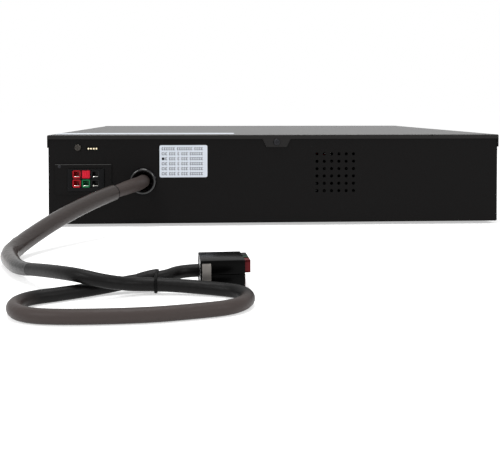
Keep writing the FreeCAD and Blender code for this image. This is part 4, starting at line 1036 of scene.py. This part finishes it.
@dataclass
class OutputLead:
    """Jacketed lead with a sleeve down to its first bend and a tie where its strands pass."""

    neck_radius: float = 6.4
    tail_radius: float = 4.15
    sleeve_radius: float = 6.9
    sleeve_end_radius: float = 4.2
    floor_gap: float = 0.1
    sleeve_start: int = 2        # the sleeve begins half way from this point of the route to the next
    sleeve_end: int = 8
    taper_from: float = 0.6      # share of the sleeve's length after which it gets thinner
    crease_at: float = 118.0     # from the sleeve's start to the fold where it puckers most
    crease_spread: float = 20.0
    crease_waves: tuple[tuple[float, float], ...] = ((0.09, 0.5), (0.05, 0.83))  # height and pace of each
    shade_ring_offsets: tuple[float, ...] = (0.9, 0.45, -0.3)  # back from the sleeve's start
    shade_ring_share: float = 0.99     # of the sleeve's radius
    length: float = 0.722
    diameter: float = 9.5
    span_steps: int = 14         # points of the curve from one point of the route to the next
    tie_x: float = -97.2
    strand_front: tuple[float, float] = (-466.9, 6.3)  # y and z of the strands under the tie
    strand_rear: tuple[float, float] = (-456.6, 7.9)
    tie_thickness: float = 0.9
    tie_width: float = 1.8
    tie_chamfer: float = 0.3
    tie_play: float = 0.35
    tie_steps: int = 14
    head_left: float = 3.9       # the head's reach from the band's middle, to each side
    head_right: float = 0.7
    head_depth: float = 3.2
    head_half_height: float = 2.6
    head_bevel: float = 0.5
    collar_start: float = -110.0  # the tail's own sleeve swells from here to the tie
    collar_inside: float = 1.0   # how far it reaches past the tie's middle
    collar_front: float = -463.0  # only the strand behind this y has it
    collar_base: float = 0.1
    collar_swell: float = 0.5
    collar_lift: float = 0.9
    sides: int = 32

    def build(self, on_lead: Sequence[str]) -> None:
        """Args:
            on_lead: Names of the pieces of the plug and the gland that are on it; not used.
        """
        core = self._core()
        line = self._centreline(core)
        core.data.bevel_depth = 1.0  # each point's radius is the jacket's own, in metres
        core.data.bevel_resolution = 6
        sleeve = self._sleeve(line)
        # Black ring at the sleeve's start: painted shade under its step.
        edge = self._sleeve_shade_ring(line)
        collar = self._collar(line)
        tie = self._tie()
        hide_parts("cable_neck", "cable_tail")

    def _core(self) -> bpy.types.Object:
        """The lead's jacket, on a smooth curve through the route's control points.

        Returns:
            The curve's object, still without thickness.
        """
        curve = bpy.data.curves.new("output_lead_core", "CURVE")
        curve.dimensions = "3D"
        curve.resolution_u = self.span_steps
        curve.use_fill_caps = True
        spline = curve.splines.new("NURBS")
        spline.points.add(len(LEAD_ROUTE) - 1)
        for index, (x, y, z) in enumerate(LEAD_ROUTE):
            spline.points[index].co = (x, y, z, 1.0)
            slim = index > self.sleeve_start
            spline.points[index].radius = mm(self.tail_radius if slim else self.neck_radius)
        spline.order_u = 3
        spline.use_endpoint_u = True
        curve.materials.append(PVC_JACKET.material())
        made = put("output_lead_core", curve)
        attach(made, BODY)
        return made

    def _centreline(self, core: bpy.types.Object) -> list[Vector]:
        """Points of the lead's own line.

        Args:
            core: The curve before it gets its thickness.

        Returns:
            The points in millimetres, from the bushing on.
        """
        bpy.context.view_layer.update()
        graph = bpy.context.evaluated_depsgraph_get()
        mesh = bpy.data.meshes.new_from_object(core.evaluated_get(graph))
        points = [vert.co * METRE for vert in mesh.vertices]
        bpy.data.meshes.remove(mesh)
        return points

    def _index_near(self, line: Sequence[Vector], first: int) -> int:
        """Index of the line's point nearest to the middle of one run of the route."""
        target = (Vector(LEAD_ROUTE[first]) + Vector(LEAD_ROUTE[first + 1])) / 2 * METRE
        return min(range(len(line)), key=lambda index: (line[index] - target).length)

    def _sleeve(self, line: Sequence[Vector]) -> bpy.types.Object:
        """Shrink sleeve that follows the lead, creased in the bend and tighter towards its end.

        Args:
            line: Points of the lead's own line.

        Returns:
            The sleeve.
        """
        start, stop = self._index_near(line, self.sleeve_start), self._index_near(line, self.sleeve_end)
        path = list(line[start:stop + 1])
        total = sum((b - a).length for a, b in zip(path, path[1:]))

        def section(index: int, travelled: float) -> list[tuple[float, float]]:
            """Section of the sleeve at one place.

            Args:
                index: Number of the path's point.
                travelled: Length of the path up to it.

            Returns:
                Points of the section.
            """
            share = max(0.0, (travelled / total - self.taper_from) / (1 - self.taper_from))
            radius = self.sleeve_radius + (self.sleeve_end_radius - self.sleeve_radius) * share
            wave = sum(height * math.sin(travelled * pace) for height, pace in self.crease_waves)
            points = []
            for u, v in circle(radius, self.sides):
                grow = 1 + self._crease(travelled) * max(0.0, u / radius) ** 2 * wave
                points.append((u * grow, v * grow))
            return points

        shape = Shape("lead_sleeve")
        shape.sweep(path, section)
        for vert in shape.mesh.verts:
            vert.co.z = max(vert.co.z, self.floor_gap)
        return shape.piece(SHRINK_SLEEVE, ("cable_sleeve",), smooth=60.0)

    def _crease(self, travelled: float) -> float:
        """How much the sleeve puckers, strongest in the first fold."""
        return math.exp(-((travelled - self.crease_at) / self.crease_spread) ** 2)

    def _sleeve_shade_ring(self, line: Sequence[Vector]) -> bpy.types.Object:
        """Black ring where the sleeve begins: painted shade for the shadow under the sleeve's step.

        Args:
            line: Points of the lead's own line.

        Returns:
            The painted shade, as a short ring.
        """
        start = self._index_near(line, self.sleeve_start)
        heading = (line[start + 1] - line[start]).normalized()
        path = [line[start] - heading * offset for offset in self.shade_ring_offsets]
        ring = circle(self.sleeve_radius * self.shade_ring_share, self.sides)
        shape = Shape("lead_sleeve_shade_ring")
        shape.sweep(path, lambda index, travelled: ring)
        return shape.piece(TIE_NYLON, smooth=60.0)

    def _collar(self, line: Sequence[Vector]) -> bpy.types.Object:
        """Swelling of the rear strand where its own sleeve ends under the tie.

        Args:
            line: Points of the lead's own line.

        Returns:
            The swelling.
        """
        end = self.tie_x + self.collar_inside
        path = [point for point in line[len(line) // 2:]
                if self.collar_start < point.x < end and point.y > self.collar_front]
        count = len(path) - 1

        def section(index: int, travelled: float) -> list[tuple[float, float]]:
            """Section that swells towards the tie, more at its top.

            Args:
                index: Number of the path's point.
                travelled: Length of the path up to it.

            Returns:
                Points of the section.
            """
            share = math.sin(math.pi / 2 * index / count)
            radius = self.tail_radius + self.collar_base + self.collar_swell * share
            return [(u, v + self.collar_lift * share if v > 0 else v)
                    for u, v in circle(radius, self.sides)]

        shape = Shape("lead_collar")
        shape.sweep(path, section)
        return shape.piece(PVC_JACKET, smooth=60.0)

    def _tie(self) -> bpy.types.Object:
        """Band round both strands, with a ratchet head and its cut end.

        Returns:
            The tie.
        """
        half_t, half_w, cut = self.tie_thickness / 2, self.tie_width / 2, self.tie_chamfer
        quarter = [(half_t, half_w - cut), (half_t - cut, half_w)]
        section = quarter + [(-u, v) for u, v in reversed(quarter)]
        section += [(-u, -v) for u, v in quarter] + [(u, -v) for u, v in reversed(quarter)]
        back, height = box_mm("zip_tie")[1].y, self.strand_rear[1]
        shape = Shape("lead_tie")
        shape.sweep(self._band_path(), lambda index, travelled: section, closed=True, up=Vector((1, 0, 0)))
        shape.box((self.tie_x - self.head_left, back - self.head_depth, height - self.head_half_height),
                  (self.tie_x + self.head_right, back, height + self.head_half_height), self.head_bevel)
        return shape.piece(TIE_NYLON, ("zip_tie",))

    def _band_path(self) -> list[Vector]:
        """Closed line round the two strands, half a band's thickness outside them.

        Returns:
            Its points in millimetres.
        """
        front, rear = Vector(self.strand_front), Vector(self.strand_rear)
        radius = self.tail_radius + self.tie_play + self.tie_thickness / 2
        across = rear - front
        aim = math.atan2(across.y, across.x)
        points = []
        for centre, begin in ((rear, aim + math.pi / 2), (front, aim - math.pi / 2)):
            for step in range(self.tie_steps + 1):
                angle = begin - math.pi * step / self.tie_steps
                points.append(Vector((self.tie_x, centre.x + radius * math.cos(angle),
                                      centre.y + radius * math.sin(angle))))
        return points


# ---- plug ----------------------------------------------------------------------------------------
ALONG_X = Matrix(((0, 1, 0, 0), (1, 0, 0, 0), (0, 0, 1, 0), (0, 0, 0, 1)))  # lays a plate along X
# The plug's red and green poles take darker copies of the resins, painted shade.
PLUG_FINISHES = {Pole.RED: PLUG_RED, Pole.GREEN: PLUG_GREEN}


@dataclass
class MatingPlug:
    """Two-part plug with the poles in its nose and a clamp strip at its rear."""

    entry: Point = (-71.4, -443.53, 9.4)
    yaw: float = 4.0
    length: float = 28.0
    width: float = 29.4
    height: float = 17.8
    pitch: float = 8.8
    proud_upper: float = 3.6
    proud_lower: float = 0.4
    bevel: float = 0.6
    room: float = 0.1            # between the poles and the shell
    split: float = 0.06          # half the joint between the halves
    rear_start: float = 0.4      # the wall across the shell's rear
    rear_end: float = 3.4
    rear_inset: float = 0.6      # of that wall from the shell's outside
    clamp_height: float = 15.5
    clamp_lift: float = 0.6      # from the shell's bottom to the clamp's
    clamp_thickness: float = 1.4
    clamp_bow: float = 1.2
    clamp_sunk: float = 0.1
    clamp_start: float = 1.0
    clamp_end: float = 6.5
    clamp_bevel: float = 0.25
    clamp_steps: int = 10
    moulding: PoleMoulding = field(default_factory=PoleMoulding)
    pieces: list[str] = field(default_factory=list)

    def build(self) -> list[str]:
        """Build the plug.

        Returns:
            Names of its pieces, which are on the lead.
        """
        place_plug = at(*self.entry, self.yaw)
        red = ((-1, 1, Pole.RED), (-1, -1, Pole.RED), (0, -1, Pole.RED_BLANK))
        for name, cells in (("plug_red_poles", red), ("plug_green_pole", ((0, 1, Pole.GREEN),)),
                            ("plug_black_poles", ((1, 1, Pole.BLACK), (1, -1, Pole.BLACK)))):
            self._poles(name, cells, place_plug)
        self._shell("plug_shell_upper", 1, place_plug)
        self._shell("plug_shell_lower", -1, place_plug)
        self._clamp(place_plug)
        return self.pieces

    def _keep(self, made: bpy.types.Object) -> None:
        """Remember a piece that is on the lead."""
        self.pieces.append(made.name)

    def _poles(self, name: str, cells: Sequence[tuple[int, int, Pole]], place_plug: Matrix) -> None:
        """Housings of one colour, mouths towards the nose.

        Args:
            name: Their CAD node.
            cells: Column, row and kind of each.
            place_plug: Transform from the plug's own place.
        """
        shape = Shape(name + "_moulding")
        for column, row, kind in cells:
            face = self.length + (self.proud_upper if row > 0 else self.proud_lower)
            turn = (place_plug @ Matrix.Translation((face, column * self.pitch, row * self.pitch / 2))
                    @ Matrix.Rotation(math.pi, 4, "X") @ Matrix.Rotation(math.pi / 2, 4, "Z"))
            self.moulding.add(shape, kind, turn)
        colour = cells[0][2]
        self._keep(shape.piece(PLUG_FINISHES.get(colour, colour.finish), (name,)))

    def _shell(self, name: str, sign: int, place_plug: Matrix) -> None:
        """One half of the shell: a channel over the poles with a wall across its rear.

        Args:
            name: Its CAD node.
            sign: 1 for the upper half and -1 for the lower one.
            place_plug: Transform from the plug's own place.
        """
        half_w, crown, split = self.width / 2, sign * self.height / 2, self.split * sign
        room_w = (2 * self.pitch + self.moulding.size) / 2 + self.room
        roof = ((self.pitch + self.moulding.size) / 2 + self.room) * sign
        outline = [(-half_w, split), (-half_w, crown), (half_w, crown), (half_w, split),
                   (room_w, split), (room_w, roof), (-room_w, roof), (-room_w, split)]
        shape = Shape(name + "_moulding")
        shape.prism(outline, 0.0, self.length, place_plug @ ALONG_X, self.bevel)
        wall = half_w - self.rear_inset
        z0, z1 = sorted((split, crown - sign * self.rear_inset))
        shape.box((self.rear_start, -wall, z0), (self.rear_end, wall, z1), 0.0, place_plug)
        self._keep(shape.piece(GLOSS_ABS, (name,)))

    def _clamp(self, place_plug: Matrix) -> None:
        """Bent strip across the near side of the rear end.

        Args:
            place_plug: Transform from the plug's own place.
        """
        bottom = -self.height / 2 + self.clamp_lift
        side = -self.width / 2
        outline = []
        for step in range(self.clamp_steps + 1):
            share = step / self.clamp_steps
            outline.append((side - self.clamp_thickness - self.clamp_bow * math.sin(math.pi * share),
                            bottom + self.clamp_height * share))
        inner = side + self.clamp_sunk
        outline += [(inner, bottom + self.clamp_height), (inner, bottom)]
        shape = Shape("plug_clamp_strip")
        shape.prism(outline, self.clamp_start, self.clamp_end, place_plug @ ALONG_X, self.clamp_bevel)
        self._keep(shape.piece(ZINC_STRIP, ("plug_cable_clamp",)))


# ---- surroundings --------------------------------------------------------------------------------
def seen_level(tree: bpy.types.NodeTree, unseen: float, seen: float) -> bpy.types.NodeSocket:
    """Strength that is one value for rays from the eye, mirrored or not, and another for light.

    Args:
        tree: Node tree of the world or the floor.
        unseen: Value for the rays that light the object.
        seen: Value for camera, glossy and transmitted rays.

    Returns:
        The socket that carries it.
    """
    path = add_node(tree, "ShaderNodeLightPath")
    mirrored = add_node(tree, "ShaderNodeMath", {"operation": "MAXIMUM"})
    tree.links.new(path.outputs["Is Glossy Ray"], mirrored.inputs[0])
    tree.links.new(path.outputs["Is Transmission Ray"], mirrored.inputs[1])
    either = add_node(tree, "ShaderNodeMath", {"operation": "MAXIMUM"})
    tree.links.new(path.outputs["Is Camera Ray"], either.inputs[0])
    tree.links.new(mirrored.outputs["Value"], either.inputs[1])
    level = add_node(tree, "ShaderNodeMapRange", {"To Min": unseen, "To Max": seen},
                     {"Value": either.outputs["Value"]})
    return level.outputs["Result"]


@dataclass(frozen=True)
class Softbox:
    """Soft rectangular lamp: places and sizes in millimetres, power in watts."""

    name: str
    where: Point
    side: float
    power: float
    aim: Point

    def build(self) -> None:
        """Hang the lamp and turn it to what it lights."""
        data = bpy.data.lights.new(self.name, "AREA")
        data.shape = "RECTANGLE"
        data.size = data.size_y = mm(self.side)
        data.energy = self.power
        lamp = put(self.name, data)
        lamp.location = place(*self.where)
        heading = place(*self.aim) - place(*self.where)
        lamp.rotation_euler = heading.to_track_quat("-Z", "Y").to_euler()


@dataclass
class Studio:
    """Pale floor, soft light and the camera."""

    camera_at: Point = (-64.65, -914.96, 111.84)
    yaw: float = 0.0547
    pitch: float = 0.02
    lens: float = 53.16
    shift_y: float = -0.2003
    floor_size: float = 60000.0
    floor_glow: float = 0.5      # what the eye sees of the floor on top of the light on it
    sky_level: float = 0.55      # light from the world on the object
    sky_seen: float = 1.0        # the world behind it
    lamps: tuple[Softbox, ...] = (
        Softbox("overhead_softbox", (-100.0, -350.0, 1500.0), 700.0, 12.0, (-60.0, -250.0, 0.0)),
        Softbox("left_softbox", (-800.0, -1200.0, 700.0), 300.0, 4.5, (-100.0, -350.0, 30.0)),
        Softbox("right_softbox", (700.0, -1300.0, 600.0), 300.0, 3.0, (-60.0, -350.0, 30.0)))

    def build(self) -> None:
        """Set up the floor, the world, the lamps, the camera and the view."""
        self._floor()
        self._world()
        for lamp in self.lamps:
            lamp.build()
        self._camera()
        bpy.context.scene.view_settings.view_transform = "Standard"

    def _floor(self) -> None:
        """Plain floor that looks white and keeps the shadow."""
        shape = bpy.data.meshes.new("studio_floor")
        half = mm(self.floor_size / 2)
        shape.from_pydata([(-half, -half, 0), (half, -half, 0), (half, half, 0), (-half, half, 0)], [],
                          [(0, 1, 2, 3)])
        paint = bpy.data.materials.new("matt_floor_paint")
        tree = empty_tree(paint)
        shader = add_node(tree, "ShaderNodeBsdfDiffuse", {"Color": linear("f6f6f6")})
        glow = add_node(tree, "ShaderNodeEmission", {"Color": linear("ffffff")},
                        {"Strength": seen_level(tree, 0.0, self.floor_glow)})
        both = add_node(tree, "ShaderNodeAddShader")
        tree.links.new(shader.outputs["BSDF"], both.inputs[0])
        tree.links.new(glow.outputs["Emission"], both.inputs[1])
        add_node(tree, "ShaderNodeOutputMaterial", links={"Surface": both.outputs["Shader"]})
        shape.materials.append(paint)
        put("studio_floor", shape)

    def _world(self) -> None:
        """White behind the object for the camera, and a plain level of light on it."""
        world = bpy.data.worlds.new("studio_world")
        tree = empty_tree(world)
        shade = add_node(tree, "ShaderNodeBackground", {"Color": linear("ffffff")},
                         {"Strength": seen_level(tree, self.sky_level, self.sky_seen)})
        add_node(tree, "ShaderNodeOutputWorld", links={"Surface": shade.outputs["Background"]})
        bpy.context.scene.world = world

    def _camera(self) -> None:
        """Camera at the eye's place in front of the rear panel."""
        data = bpy.data.cameras.new("view_camera")
        data.lens = self.lens
        data.shift_y = self.shift_y
        data.clip_end = 100.0
        camera = put("view_camera", data)
        camera.location = place(*self.camera_at)
        camera.rotation_euler = (math.pi / 2 - self.pitch, 0.0, -self.yaw)
        bpy.context.scene.camera = camera


def dress_cad(nodes: dict[str, bpy.types.Object]) -> None:
    """Give the CAD nodes that stay their finishes.

    Args:
        nodes: The frame's nodes by name.
    """
    for finish, names in CAD_FINISHES.items():
        for name in names:
            for holder in nodes[name].material_slots:
                holder.material = finish.material()
            log.info("%s: %s", name, finish.name)


def main() -> None:
    """Load the frame and build the pack, one sub-assembly after another."""
    logging.basicConfig(level=logging.INFO, format="%(name)s %(message)s")
    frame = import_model()
    dress_cad(frame["nodes"])
    BatterySocket().build()
    PlateRivets().build()
    CrossScrew("tab_screw_head", "cover_tab_screw", OXIDE_STEEL, "black_screw").build()
    CrossScrew("board_screw_head", "board_screw", BLACK_NICKEL, "nickel_steel").build()
    DetectHeader().build()
    SpecLabel().build()
    CableBushing().build()
    plug = MatingPlug().build()
    OutputLead().build(plug + ["cable_bushing_ring"])
    Studio().build()
    bpy.context.view_layer.update()


if __name__ == "__main__":
    main()
